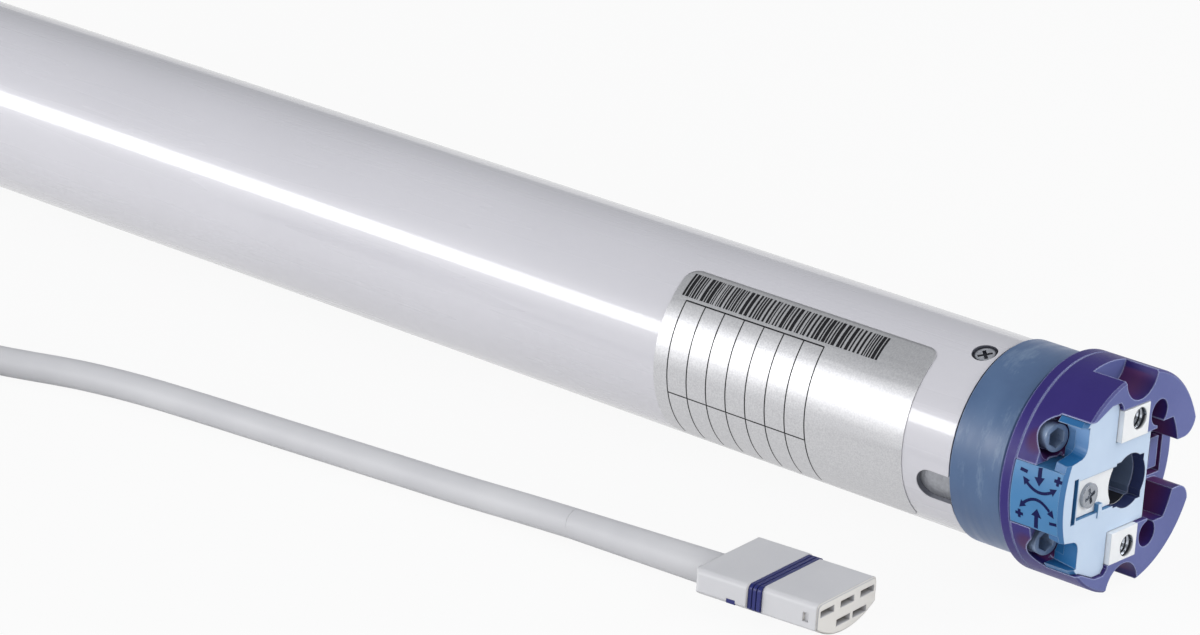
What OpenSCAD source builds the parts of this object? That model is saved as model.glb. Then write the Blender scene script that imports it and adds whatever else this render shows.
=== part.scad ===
// Tubular roller blind motor with a mechanical limit switch and a pluggable mains lead.
// X runs along the tube and out of the head, Z is up, and the origin is the centre of the bracket face.
// A distance named ..._s is measured from the bracket face into the tube, along -X.

/* [Tube] */
// Outside diameter of the motor tube
tube_d = 45; // [43:0.5:47]
// Wall thickness of the motor tube
tube_wall = 1.5; // [1.2:0.1:1.8]
// Length of the motor tube
tube_len = 400; // [395:1:480]
// Width of the assembly slot at the head end of the tube
slot_w = 7.2; // [5:0.2:9]
// Length of the assembly slot
slot_len = 8.8; // [7:0.2:11]
// Angle of the assembly slot around the tube
slot_angle = 197; // [185:1:215]
// Angle of the first tube screw around the tube
screw_angle = 110; // [95:1:125]
// Distance from the end of the tube to its screws
screw_inset = 3.7; // [3.4:0.1:5]
// Diameter of the tube screws' heads
screw_head_d = 5.4; // [4.6:0.1:6]
// Depth of the screw heads below the tube's outside
screw_sink = 0.6; // [0.2:0.1:0.8]
// Diameter of the tube screws' shanks
screw_shank_d = 3; // [2.5:0.1:3.5]

/* [Label] */
// Length of the rating label along the tube
label_len = 70; // [40:1:90]
// Distance from the head end of the tube to the label
label_inset = 12.6; // [12:0.2:30]
// Angle of the label's first edge around the tube
label_angle = 119.5; // [90:0.5:150]
// Angle that the label covers
label_arc = 115; // [80:1:150]
// Thickness of the label
label_t = 0.15; // [0.1:0.05:0.3]

/* [Head housing] */
// Outside diameter of the head
head_d = 49.8; // [49:0.2:54]
// Length of the head in front of the limit ring
head_len = 18.3; // [17.5:0.1:21]
// Width of the lip at the back of the head
lip_w = 3.8; // [2:0.2:4.4]
// Depth of the head's front face behind the bracket face
face_step = 0.3; // [0.1:0.1:1]
// Diameter of the round notches at the top and the bottom of the head
notch_d = 12; // [8:0.2:13]
// Distance of the notches' centre line from the tube's axis
notch_z = 24.8; // [24.6:0.1:26]
// Length of the notches behind the bracket face
notch_len = 9; // [5:0.5:12]
// Diameter of the two round holes in the lobes
lobe_hole_d = 6; // [4:0.2:6.4]
// Sideways place of the lobe holes
lobe_hole_y = 7.9; // [7:0.1:9]
// Height of the lobe holes above and below the axis
lobe_hole_z = 14; // [13.6:0.1:15]
// Depth of the lobe holes
lobe_hole_depth = 8; // [4:0.5:12]
// Height of the cable gap between the lobes
gap_h = 11.4; // [9:0.2:12]
// Depth of the cable gap
gap_depth = 7.6; // [6:0.2:11]
// Radius of the lobes' rounded ends at the cable gap
gap_round = 4; // [2:0.5:5]
// Width of the groove around the plug's latch
latch_groove = 1.5; // [0.8:0.1:2]
// Distance of the latch groove from the axis
latch_y = 20; // [19:0.1:21]

/* [Head insert] */
// Depth of the faceplate behind the bracket face
plate_step = 1.3; // [0.8:0.1:1.8]
// Thickness of the faceplate
plate_t = 3; // [2.4:0.1:4]
// Right edge of the faceplate, from the axis
plate_right = 6.8; // [6.6:0.1:7]
// Top and bottom edge of the faceplate, from the axis
plate_top = 19.6; // [18.8:0.1:20.4]
// Height of the marked side panel
panel_h = 14; // [10:0.2:15]
// Length of the marked side panel
panel_len = 13.2; // [11.5:0.2:14]
// Depth of the insert's side block behind the bracket face
block_depth = 8.2; // [7:0.1:9]
// Gap around the insert and the mounting frame
seam = 0.15; // [0.05:0.05:0.25]
// Width of the slot beside the frame's plate
vent_w = 1.5; // [0.8:0.1:1.8]
// Height of the slot beside the frame's plate
vent_h = 10.4; // [8:0.2:12]

/* [Mounting frame] */
// Distance between the two bracket threads
thread_spacing = 29.2; // [28.6:0.2:29.8]
// Core diameter of the bracket threads
thread_d = 5; // [4:0.1:5.2]
// Depth of the bracket threads
thread_depth = 12; // [8:0.5:13]
// Length of the threaded bosses
boss_len = 14; // [13.5:0.5:16]
// Width of a boss on the side away from the plug
boss_left = 6.2; // [5:0.1:6.6]
// Width of a boss on the side of the plug
boss_right = 3.5; // [3.2:0.1:4.2]
// Height of a boss from its thread towards the axis
boss_in = 4.2; // [3.6:0.1:4.6]
// Height of a boss from its thread away from the axis
boss_out = 3; // [2.8:0.1:3.4]
// Thickness of the frame behind the faceplate
frame_t = 4.6; // [3:0.2:6]
// Width of the frame on the side away from the plug
frame_left = 12.2; // [9:0.1:12.6]
// Depth of the frame's plate behind the bracket face
arm_step = 2.2; // [1.9:0.1:3]
// Length of the frame's plate from the axis
arm_len = 18.6; // [17.4:0.1:18.8]
// Height of the frame's plate
arm_h = 8.8; // [7:0.2:10]
// Diameter of the centre hole
centre_d = 12.4; // [11.6:0.2:12.8]
// Side of the square that cuts the centre hole's corners
centre_sq = 10.2; // [9.2:0.1:10.3]
// Depth of the centre hole
centre_depth = 14.5; // [12:0.5:16]
// Place of the cross-head screw, from the axis
frame_screw_y = 14; // [13:0.2:14.6]
// Diameter of the cross-head screw's head
frame_screw_d = 5.6; // [4.6:0.2:6]

/* [Limit adjusters] */
// Outside diameter of the adjusters
adjuster_d = 6.4; // [5.6:0.1:6.6]
// Width across the flats of the adjusters' hexagon sockets
adjuster_af = 4; // [3:0.1:4.4]
// Length of the adjusters
adjuster_len = 8; // [7:0.2:9]
// Angle between the adjusters and the tube's axis
adjuster_tilt = 14; // [8:1:20]
// Depth of the adjusters' faces behind the bracket face
adjuster_depth = 9; // [8.6:0.1:9.4]
// Sideways distance of the adjusters' faces from the axis
adjuster_y = 17.5; // [17:0.1:17.6]
// Height of the adjusters above and below the axis
adjuster_z = 11.8; // [11.4:0.1:12]
// Height of the far wall of the adjusters' pockets above the axis
pocket_top = 16.1; // [15.6:0.1:16.6]

/* [Limit ring] */
// Outside diameter of the limit ring
ring_d = 46.1; // [45.2:0.1:47.5]
// Length of the limit ring
ring_len = 13.6; // [13:0.1:15]
// Wall of the limit ring around its journals
ring_wall = 2.5; // [2:0.05:2.6]
// Wall of the journals behind the ring's teeth
tooth_land = 0.628; // [0.6:0.001:0.9]
// Wall of the head's spigot
spigot_wall = 2; // [1.7:0.1:2.2]
// Length of the head's spigot behind the limit ring
spigot_len = 46; // [45.6:0.2:50]
// Radial clearance of a running fit
run_gap = 0.05; // [0.02:0.01:0.08]
// Gap between pieces that slide or turn past each other
side_gap = 0.3; // [0.2:0.05:0.4]

/* [Limit switch] */
// Diameter of the threaded spindles
spindle_d = 4; // [3:0.1:4.4]
// Width of the travelling nuts
nut_w = 7; // [6:0.1:7.2]
// Length of the travelling nuts
nut_len = 5; // [4:0.2:6]
// Length of the microswitches
switch_len = 12.8; // [10:0.2:14]
// Thickness of the chassis plates
chassis_t = 1.2; // [1:0.1:1.3]

/* [Plug] */
// Width of the plug
plug_w = 22.8; // [22:0.2:23.2]
// Step in the plug's width behind its seal, on each side
plug_step = 1.1; // [0:0.1:1.6]
// Thickness of the plug
plug_t = 9; // [8.6:0.1:9.2]
// Length of the plug
plug_len = 30.2; // [29:0.2:40]
// Radius of the plug's curved side
plug_arc = 21.5; // [20:0.5:26]
// Radius of the plug's long edges and rear corners
plug_round = 1.2; // [0.6:0.1:1.6]
// Depth of the lip round the plug's front
plug_lip = 0.3; // [0.2:0.1:0.4]
// Distance of the plug's flat side from the axis when it is plugged in
plug_y = 7.8; // [7.6:0.1:8]
// Depth of the plug's pocket in the head
plug_depth = 16; // [14:0.2:16.2]
// Clearance around the plug in its pocket
plug_gap = 0.2; // [0.1:0.05:0.3]
// Width of the plug's seal
seal_w = 3.2; // [2:0.1:4]
// Width of a contact opening in the plug
contact_w = 5.2; // [4:0.1:5.4]
// Height of a contact opening in the plug
contact_h = 1.5; // [1.2:0.1:1.8]
// Distance between the upper contacts
contact_step = 7.7; // [7:0.1:7.8]

/* [Mains lead] */
// Diameter of the lead
cable_d = 6.8; // [6:0.1:7]
// Length of the moulded boot behind the plug
boot_len = 40; // [30:1:44]
// Diameter of the boot at the plug
boot_d = 7.9; // [7.2:0.1:8.2]
// Turns of the lead in one layer of its coil
coil_turns = 4.5; // [3:0.25:4.75]
// Outside radius of the coil's centre line
coil_r = 56; // [54:0.5:60]
// Thickness of the coil's tie
tie_t = 0.8; // [0.6:0.1:1.2]
// Width of the coil's tie
tie_w = 5; // [3:0.5:8]
// Length of the stripped cores
core_len = 40; // [30:1:44]
// Diameter of a core
core_d = 2.2; // [1.8:0.1:2.3]

/* [Motor] */
// Diameter of the run capacitor
capacitor_d = 30; // [26:0.5:34]
// Length of the run capacitor
capacitor_len = 72; // [50:1:80]
// Length of the sleeve around the capacitor
sleeve_len = 42; // [30:1:48]
// Length of the stator stack
stator_len = 100; // [80:1:102]
// Diameter of the rotor
rotor_d = 22; // [21:0.5:24]
// Diameter of the rotor's shaft
shaft_d = 8; // [7:0.2:9]
// Outside diameter of the shaft's bearings
bearing_d = 22; // [20:0.5:24]
// Width of the shaft's bearings
bearing_w = 7; // [6:0.2:8]
// Air gap between the rotor and the stator
air_gap = 0.3; // [0.2:0.05:0.4]
// Length of the windings past each end of the stack
end_turn = 11; // [8:0.5:12]
// Clearance of the pieces that are fixed in the tube
tube_fit = 0.05; // [0.02:0.01:0.1]

/* [Brake] */
// Diameter of the brake disc
brake_d = 32; // [28:0.5:32.4]
// Thickness of the brake disc
brake_disc_t = 3; // [2:0.2:4]
// Thickness of the brake's armature
armature_t = 4; // [3:0.2:5]
// Travel of the brake's armature
armature_travel = 0.5; // [0.3:0.1:0.6]
// Length of the brake's magnet
magnet_len = 14.5; // [12:0.5:16]

/* [Gearbox] */
// Module of the planetary gears
gear_m = 0.43; // [0.41:0.005:0.44]
// Face width of the first stage's planets
stage_one_w = 8; // [6:0.5:9]
// Face width of the second stage's planets
stage_two_w = 15; // [12:0.5:16]
// Thickness of the first carrier
carrier_one_t = 4; // [3:0.2:5]
// Thickness of the second carrier
carrier_two_t = 6; // [5.4:0.2:7]
// Diameter of the planets' pins
pin_d = 4; // [3:0.2:5]
// Backlash between meshing teeth
backlash = 0.16; // [0.12:0.01:0.2]

/* [Output] */
// Length of the gearbox flange
flange_len = 22; // [18:0.5:24]
// Diameter of the output shaft in its bush
output_d = 16; // [14:0.2:18]
// Wall of the output bush
bush_wall = 2.4; // [1.5:0.1:3]
// Diameter of the output shaft's drive end
drive_d = 13; // [11:0.2:13.4]
// Width across the flats of the drive end
drive_flat = 11; // [9.6:0.2:11.4]
// Length of the drive end
drive_len = 20; // [16:0.5:26]
// Thickness of the tube's end cap
cap_t = 3; // [2:0.2:4]

/* [Hidden] */
$fn = 64;
big = 60;
cut = 1;

// Places along the tube
tube_r = tube_d / 2;
tube_ri = tube_r - tube_wall;
fit_r = tube_ri - tube_fit;
head_r = head_d / 2;
floor_z = -head_r;
ring_s0 = head_len + 0.15;
ring_s1 = ring_s0 + ring_len;
tube_s0 = ring_s1 + 0.4;
tube_s1 = tube_s0 + tube_len;
screw_s = tube_s0 + screw_inset;

// Limit ring and its journals
journal_r = ring_d / 2 - ring_wall - run_gap;
journal_w = 2.2;
neck_w = 4;
gear_s0 = ring_s0 + journal_w;
gear_s1 = ring_s1 - neck_w;
spigot_s1 = ring_s1 + spigot_len;
cavity_s0 = head_len + 2.7;
retainer_s1 = spigot_s1 - 3.5;

// Teeth: pressure angle, and heights as shares of the module
pressure = 25;
tip_share = 0.8;
root_share = 1.05;

// Limit switch gear train
ring_teeth = 60;
limit_m = (journal_r - tooth_land) / (ring_teeth / 2 + root_share);
spigot_r = limit_m * (ring_teeth / 2 - tip_share) - side_gap;
spigot_ri = spigot_r - spigot_wall;
pinion_teeth = 20;
small_teeth = 12;
spindle_teeth = 18;
pinion_y = limit_m * (ring_teeth - pinion_teeth) / 2;
spindle_reach = limit_m * (small_teeth + spindle_teeth) / 2;
spindle_z = limit_m * spindle_teeth / 2 + tip_share * limit_m + side_gap;
spindle_y = pinion_y - sqrt(pow(spindle_reach, 2) - pow(spindle_z, 2));
journal_pin_r = 1.5;
pinion_s0 = gear_s0 + 0.7;
pinion_s1 = gear_s1 - 0.7;
plate_a_s = gear_s1;
small_s0 = plate_a_s + chassis_t + side_gap;
small_s1 = small_s0 + 4;
plate_b_s = small_s1 + side_gap;
thread_s0 = plate_b_s + chassis_t;
plate_c_s = spigot_s1 - chassis_t;
nut_mid_s = (thread_s0 + plate_c_s) / 2;
chassis_r = spigot_ri - tube_fit;
strut_y = chassis_r - 5.3;
strut_t = 2;

// Plug pocket and contacts
pocket_s1 = plug_depth + 4;
contact_rows = [6.6, 2.75];
lower_shift = 2;
lower_step = 6.3;
pin_w = contact_w - 0.8;
pin_h = contact_h - 0.5;

// Mounting frame
thread_z = thread_spacing / 2;
frame_s0 = plate_step + plate_t + seam;
frame_s1 = frame_s0 + frame_t;
boss_z0 = thread_z - boss_in;
boss_z1 = thread_z + boss_out;
block_y = 13;

// Gearbox, brake and motor, counted back from the output end
sun_teeth = 10;
planet_teeth = 35;
annulus_teeth = 80;
planet_r = gear_m * (sun_teeth + planet_teeth) / 2;
cap_s0 = tube_s1 - cap_t;
flange_s1 = cap_s0 - 0.1;
flange_s0 = flange_s1 - flange_len;
stage_gap = 0.4;
gearbox_room = 8;
gear_len = 3 + stage_one_w + carrier_one_t + stage_two_w + carrier_two_t + 3 * stage_gap + gearbox_room;
annulus_s1 = flange_s0 - 0.1;
annulus_s0 = annulus_s1 - gear_len;
one_s0 = annulus_s0 + 3;
one_s1 = one_s0 + stage_one_w;
carrier_one_s0 = one_s1 + stage_gap;
carrier_one_s1 = carrier_one_s0 + carrier_one_t;
two_s0 = carrier_one_s1 + stage_gap;
two_s1 = two_s0 + stage_two_w;
carrier_two_s0 = two_s1 + stage_gap;
carrier_two_s1 = carrier_two_s0 + carrier_two_t;
carrier_r = planet_r + pin_d / 2 + 2.4;
pinion_bore_r = 1.5;
shaft_s1 = annulus_s0 - 1;
magnet_s1 = annulus_s0 - 1.5;
magnet_s0 = magnet_s1 - magnet_len;
armature_s1 = magnet_s0 - armature_travel - 0.1;
armature_s0 = armature_s1 - armature_t;
disc_s1 = armature_s0 - 0.4;
disc_s0 = disc_s1 - brake_disc_t;
shield_t = bearing_w + 3;
rear_s1 = disc_s0 - 0.4;
rear_s0 = rear_s1 - shield_t;
stator_s1 = rear_s0 - end_turn - 2;
stator_s0 = stator_s1 - stator_len;
front_s1 = stator_s0 - end_turn - 2;
front_s0 = front_s1 - shield_t;
rotor_r = rotor_d / 2;
stator_ri = rotor_r + air_gap;
stator_slots = 12;
slot_r0 = stator_ri + 1.4;
slot_r1 = fit_r - 3.2;
slot_side = 3.2;
spring_seat = 4;
spring_r0 = shaft_d / 2 + 1.2;
spring_r1 = spring_r0 + 3.8;
guide_r = 1.5;
guide_reach = brake_d / 2 + guide_r + side_gap;
capacitor_s0 = (spigot_s1 + front_s0 - capacitor_len) / 2;
sleeve_s0 = capacitor_s0 + (capacitor_len - sleeve_len) / 2;

// Mains lead: the plug's heading, and the route on the floor from the boot to the coil
cable_r = cable_d / 2;
plug_heading = 5;
boot_rise = boot_d / 2 + 0.05;
lead_start = [-96, -70];
lay = cable_r + 0.05;
plug_rear = lead_start + boot_len * [cos(plug_heading), sin(plug_heading)];
coil_centre = [-300, -161];
coil_step = cable_d + 0.6;
coil_rise = cable_d + 0.5;
coil_low = floor_z + tie_t + cable_r + 0.05;
coil_angle = 100;
coil_rings = 24;
coil_in = 360 * coil_turns;
coil_out = 360 * (coil_turns - 1.5);
coil_inner = coil_r - coil_step * coil_turns;
coil_entry = let (a = coil_angle) coil_centre + coil_r * [cos(a), sin(a)] + cable_d * [sin(a), -cos(a)];
lead_route = [
  [lead_start.x, lead_start.y, floor_z + boot_rise],
  [-108, -71, floor_z + lay + 0.3],
  [-126, -73, floor_z + lay],
  [-144, -75, floor_z + lay],
  [-162, -77, floor_z + lay],
  [-180, -79, floor_z + lay],
  [-198, -81, floor_z + lay],
  [-216, -83.5, floor_z + lay],
  [-232, -87.5, floor_z + lay],
  [-248, -94, floor_z + lay],
  [-264, -99, floor_z + lay],
  [-281, -102, floor_z + lay + 0.4],
  [coil_entry.x, coil_entry.y, coil_low]
];
lead_sides = 10;
coil_sides = 6;

// Shapes that repeat

// A round bar along the tube's axis, from depth s0 to depth s1
module rod(s0, s1, r) {
  translate([-s1, 0, 0]) rotate([0, 90, 0]) cylinder(h = s1 - s0, r = r);
}

// A round bar with a bore
module pipe(s0, s1, r, bore) {
  difference() {
    rod(s0, s1, r);
    rod(s0 - cut, s1 + cut, bore);
  }
}

// An outline in Y and Z, carried along the axis from depth s0 to depth s1
module slab(s0, s1) {
  translate([-s1, 0, 0]) rotate([90, 0, 90]) linear_extrude(s1 - s0) children();
}

// A profile of [radius, -depth] points turned about the tube's axis
module turned(angle = 360) {
  rotate([0, 90, 0]) rotate_extrude(angle = angle, $fn = 96) children();
}

// Turns a piece made along +Y to an angle around the tube
module around(angle) {
  rotate([angle, 0, 0]) children();
}

// A round bar along +Y from radius r0 to radius r1, at depth s
module radial_rod(s, r0, r1, r) {
  translate([-s, r0, 0]) rotate([-90, 0, 0]) cylinder(h = r1 - r0, r = r);
}

// A rectangle in Y and Z between two corners
module patch(low, high) {
  translate(low) square(high - low);
}

// Half of a tooth's angle at radius r, on a gear of z teeth whose teeth are thinned by a length
function involute(a) = tan(a) * 180 / PI - a;
function base_r(z, m) = m * z / 2 * cos(pressure);
function half_tooth(z, m, r, thin) =
  90 / z - thin / (m * z) * 180 / PI + involute(pressure)
  - involute(acos(base_r(z, m) / max(r, base_r(z, m))));

// Outline of a gear of z teeth with straight steps along each flank
function flank_r(r0, r1) = [for (i = [0 : 3]) r0 + (r1 - r0) * i / 3];
function polar(r, a) = [r * cos(a), r * sin(a)];
function tooth(z, m, r0, r1, thin, c) = concat(
  [for (r = flank_r(r0, r1)) polar(r, c - half_tooth(z, m, r, thin))],
  [for (r = flank_r(r1, r0)) polar(r, c + half_tooth(z, m, r, thin))]
);
function gear_outline(z, m, r0, r1, thin) = [
  for (i = [0 : z - 1]) each tooth(z, m, r0, r1, thin, 360 * i / z)
];

// An outside gear between two depths, with a tooth at the given phase
module gear(z, m, s0, s1, phase = 0) {
  slab(s0, s1) rotate(phase)
    polygon(gear_outline(z, m, m * (z / 2 - root_share), m * (z / 2 + tip_share), backlash));
}

// The hollow of an inside gear, with a space at phase 0
module gear_hollow(z, m, s0, s1) {
  slab(s0, s1)
    polygon(gear_outline(z, m, m * (z / 2 - tip_share), m * (z / 2 + root_share), 0));
}

// Phase that puts a gear of zb teeth in mesh with a gear of za teeth that has a tooth at 0
function mesh_phase(za, zb, direction) =
  let (off = (ceil(direction / (360 / za)) * 360 / za - direction))
  direction + 180 - off * za / zb + 180 / zb;

// Rings of points square to a path, and the tube that joins them
function unit(v) = v / norm(v);
function heading(path, i) =
  unit(path[min(i + 1, len(path) - 1)] - path[max(i - 1, 0)]);
function side_of(t) = unit([t.y, -t.x, 0]);
function ring_at(p, t, r, n) = [
  for (k = [0 : n - 1]) p + r * (cos(360 * k / n) * side_of(t) + sin(360 * k / n) * cross(side_of(t), t))
];
function tube_points(path, r, n) = [
  for (i = [0 : len(path) - 1]) each ring_at(path[i], heading(path, i), r, n)
];
function tube_faces(rings, n) = concat(
  [for (k = [1 : n - 2]) [0, k, k + 1]],
  [for (i = [0 : rings - 2]) for (k = [0 : n - 1]) [i * n + k, (i + 1) * n + k, (i + 1) * n + (k + 1) % n]],
  [for (i = [0 : rings - 2]) for (k = [0 : n - 1]) [i * n + k, (i + 1) * n + (k + 1) % n, i * n + (k + 1) % n]],
  [for (k = [1 : n - 2]) [(rings - 1) * n, (rings - 1) * n + k + 1, (rings - 1) * n + k]]
);

module swept_tube(path, r, n) {
  polyhedron(tube_points(path, r, n), tube_faces(len(path), n), convexity = 10);
}

// Tube

module tube_screw(s, angle) {
  cross_w = 0.8;
  cross_depth = 0.5;
  top = tube_r - screw_sink;
  around(angle) difference() {
    union() {
      radial_rod(s, fit_r, top, screw_head_d / 2);
      radial_rod(s, screw_tip_r, fit_r + 0.1, screw_shank_d / 2);
    }
    translate([-s, top, 0]) for (turn = [45, 135]) rotate([0, turn, 0])
      cube([screw_head_d * 0.62, 2 * cross_depth, cross_w], center = true);
  }
}

module screw_holes(s, r) {
  for (turn = [0, 180]) around(screw_angle + turn) radial_rod(s, screw_tip_r - 0.6, tube_r + cut, r);
}

flange_screw_s = flange_s0 + flange_len / 2;
screw_tip_r = spigot_ri + 0.3;

module motor_tube() {
  color("#b8b8ca") difference() {
    pipe(tube_s0, tube_s1, tube_r, tube_ri);
    for (s = [screw_s, flange_screw_s]) screw_holes(s, screw_head_d / 2 + 0.2);
    around(slot_angle) {
      radial_rod(tube_s0 + slot_len - slot_w / 2, tube_ri - cut, tube_r + cut, slot_w / 2);
      translate([-tube_s0 - slot_len + slot_w / 2, tube_ri - cut, -slot_w / 2])
        cube([slot_len - slot_w / 2 + cut, tube_wall + 2 * cut, slot_w]);
    }
  }
}

module rating_label() {
  color("#c9cbd0") around(label_angle + 90) turned(label_arc)
    translate([tube_r + 0.02, -tube_s0 - label_inset - label_len]) square([label_t, label_len]);
}

module tube_screws() {
  color("silver") for (s = [screw_s, flange_screw_s]) for (turn = [0, 180]) tube_screw(s, screw_angle + turn);
}

// Head

module centre_hole(s0, s1) {
  rod(s0, s1, centre_d / 2);
  slab(s0, s1) square(centre_sq, center = true);
}

// Section of the plug, from its flat side at 0 to its curved side, grown by a gap
module plug_section(gap, wider = 0) {
  intersection() {
    translate([-gap, -plug_w / 2 - wider - gap]) square([plug_t + 2 * gap, plug_w + 2 * (wider + gap)]);
    translate([plug_t - plug_arc, 0]) circle(plug_arc + gap, $fn = 96);
  }
}

module plug_pocket(s0, s1, gap) {
  slab(s0, s1) translate([plug_y, 0]) plug_section(gap);
}

// The gap between the lobes, whose ends are rounded into the head's outside
module cable_gap() {
  tip_z = gap_h / 2 + gap_round;
  tip_y = sqrt(pow(head_r - gap_round, 2) - tip_z * tip_z);
  slab(-cut, gap_depth) {
    patch([plug_y + plug_t / 2, -gap_h / 2], [big, gap_h / 2]);
    for (side = [0, 1]) mirror([0, side]) difference() {
      polygon([[tip_y, 0], [2 * tip_y, 0], [2 * tip_y, 2 * tip_z], [tip_y, tip_z]]);
      translate([tip_y, tip_z]) circle(gap_round);
    }
  }
}

// The groove that frees the plug's latch, open towards the plug
module latch_cut() {
  reach = gap_h / 2 - 0.6;
  slab(gap_depth - cut, gap_depth + 3) {
    patch([latch_y, -reach], [latch_y + latch_groove, reach]);
    for (side = [0, 1]) mirror([0, side])
      patch([plug_y + plug_t - 0.1, reach - latch_groove], [latch_y + latch_groove, reach]);
  }
}

// Frame of one adjuster: its own X is the adjuster's axis, and its origin is the middle of its face
module at_adjuster(side) {
  translate([-adjuster_depth, -adjuster_y, side * adjuster_z]) rotate([0, 0, -adjuster_tilt]) children();
}

pocket_back_s = adjuster_depth + 0.3;
key_r = adjuster_af / 2 / cos(30) + 0.2;
corner_s = plate_step + 4;

// Section of an adjuster's pocket around the adjuster's axis: a corner of the faceplate may stay below the key
module key_section(corner) {
  low = panel_h / 2 - adjuster_z + 0.05;
  high = pocket_top - adjuster_z;
  bend = [for (a = [0 : 15 : 90]) key_r * [cos(a), -sin(a)]];
  below = corner ? concat(bend, [[-3.7, -key_r - 0.6], [-4.3, low]]) : [[key_r, low]];
  polygon(concat([[-big, low], [-big, high], [key_r, high]], below));
}

// A length of the pocket in front of the upper adjuster
module key_pocket(s0, s1, corner) {
  intersection() {
    at_adjuster(1) rotate([90, 0, 90]) translate([0, 0, -adjuster_len])
      linear_extrude(adjuster_len + big) key_section(corner);
    translate([-s1, -big, -big]) cube([s1 - s0, big, 2 * big]);
  }
}

module adjuster_room(side) {
  front = 3;
  mirror([0, 0, side < 0 ? 1 : 0]) {
    key_pocket(corner_s - 0.1, pocket_back_s, false);
    key_pocket(-big, corner_s, true);
  }
  at_adjuster(side) rotate([0, 90, 0]) translate([0, 0, -adjuster_len - run_gap]) {
    cylinder(h = adjuster_len + front, r = adjuster_d / 2 + run_gap);
    translate([0, 0, adjuster_len - front]) cylinder(h = 2 * front, r = adjuster_d / 2 + side_gap);
  }
}

// The hollow in the head's side around an adjuster
module adjuster_scoop(side) {
  scoop = 3;
  intersection() {
    at_adjuster(side) rotate([0, 90, 0]) translate([0, 0, -scoop])
      cylinder(h = scoop + 1, r1 = adjuster_d / 2 + side_gap, r2 = adjuster_d / 2 + side_gap + 2);
    translate([-big, -big, side > 0 ? panel_h / 2 : -panel_h / 2 - big]) cube([2 * big, big, big]);
  }
}

// Outline of the faceplate's upper half, grown by a gap
function plate_half(gap) =
  let (inner = -boss_left - seam, shoulder = boss_z0 - seam, top = plate_top + gap) [
    [plate_right + gap, -cut],
    [plate_right + gap, shoulder + gap],
    [inner + gap, shoulder + gap],
    [inner + gap, top - 1.2],
    [inner - 1, top],
    [-10.6, top],
    [-15.9, plate_top - 2.3 + gap],
    [-big, plate_top - 2.3 + gap],
    [-big, -cut]
  ];

module plate_outline(gap, r) {
  intersection() {
    union() {
      polygon(plate_half(gap));
      mirror([0, 1]) polygon(plate_half(gap));
    }
    circle(r + gap, $fn = 96);
  }
}

insert_r = head_r - 0.15;
edge = 0.9;
panel_s1 = plate_step + panel_len;

module insert_blank(gap) {
  lead = gap > 0 ? cut + plate_step : 0;
  r = gap > 0 ? big : insert_r;
  slab(plate_step - lead, plate_step + plate_t + gap) plate_outline(gap, r);
  slab(plate_step - lead, block_depth + gap) intersection() {
    plate_outline(gap, r);
    patch([-big, -big], [-block_y + gap, big]);
  }
  slab(plate_step - lead, panel_s1 + gap) intersection() {
    patch([-big, -panel_h / 2 - gap], [-block_y + gap, panel_h / 2 + gap]);
    circle(r, $fn = 96);
  }
}

// The insert's outside, with a bevel along its front edge
module insert_edge() {
  turned() polygon([
    [0, -plate_step],
    [insert_r - edge, -plate_step],
    [insert_r, -plate_step - edge],
    [insert_r, -panel_s1],
    [0, -panel_s1]
  ]);
}

module frame_blank(gap) {
  lead = gap > 0 ? cut : 0;
  for (side = [0, 1]) slab(-lead, boss_len + gap) mirror([0, side])
    patch([-boss_left - gap, boss_z0 - gap], [boss_right + gap, boss_z1 + gap]);
  slab(frame_s0 - gap, frame_s1 + gap)
    patch([-frame_left - gap, -boss_z1 - gap], [boss_right + gap, boss_z1 + gap]);
  slab(arm_step - gap, frame_s1 + gap)
    patch([-arm_len - gap, -arm_h / 2 - gap], [-frame_left + 2, arm_h / 2 + gap]);
  slab(arm_step - gap, frame_s0)
    patch([-frame_left, -arm_h / 2 - gap], [0, arm_h / 2 + gap]);
}

module head_profile() {
  lip_s = head_len - lip_w;
  polygon([
    [0, -face_step],
    [head_r - 0.5, -face_step],
    [head_r, -face_step - 0.5],
    [head_r, -lip_s + 0.25],
    [head_r - 0.25, -lip_s],
    [head_r, -lip_s - 0.25],
    [head_r, -head_len + 1.2],
    [ring_d / 2 + 0.2, -head_len],
    [journal_r, -head_len],
    [journal_r, -gear_s0],
    [spigot_r, -gear_s0],
    [spigot_r, -spigot_s1],
    [0, -spigot_s1]
  ]);
}

module head_housing() {
  color("#4d4691") difference() {
    turned() head_profile();
    insert_blank(seam);
    frame_blank(seam);
    centre_hole(-cut, centre_depth);
    for (side = [-1, 1]) {
      translate([0, 0, side * notch_z]) rod(-cut, notch_len, notch_d / 2);
      translate([0, lobe_hole_y, side * lobe_hole_z]) rod(-cut, lobe_hole_depth, lobe_hole_d / 2);
      adjuster_room(side);
      adjuster_scoop(side);
    }
    plug_pocket(-cut, pocket_s1, plug_gap);
    slab(-cut, plate_step + plate_t + seam) patch([0, -boss_z0], [plug_y, boss_z0]);
    cable_gap();
    latch_cut();
    rod(cavity_s0, spigot_s1 + cut, spigot_ri);
    translate([0, pinion_y, 0])
      rod(gear_s1, spigot_s1 + cut, limit_m * (small_teeth / 2 + tip_share) + side_gap);
    translate([-gear_s1 - 0.1, limit_m * 8, -limit_m * pinion_teeth / 2 - 1])
      cube([gear_s1 - cavity_s0 + 0.1, head_r - limit_m * 8, limit_m * pinion_teeth + 2]);
    screw_holes(screw_s, screw_shank_d / 2);
    translate([0, -frame_screw_y, 0]) rod(frame_s1, frame_s1 + 4, frame_screw_shank);
  }
}

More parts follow.
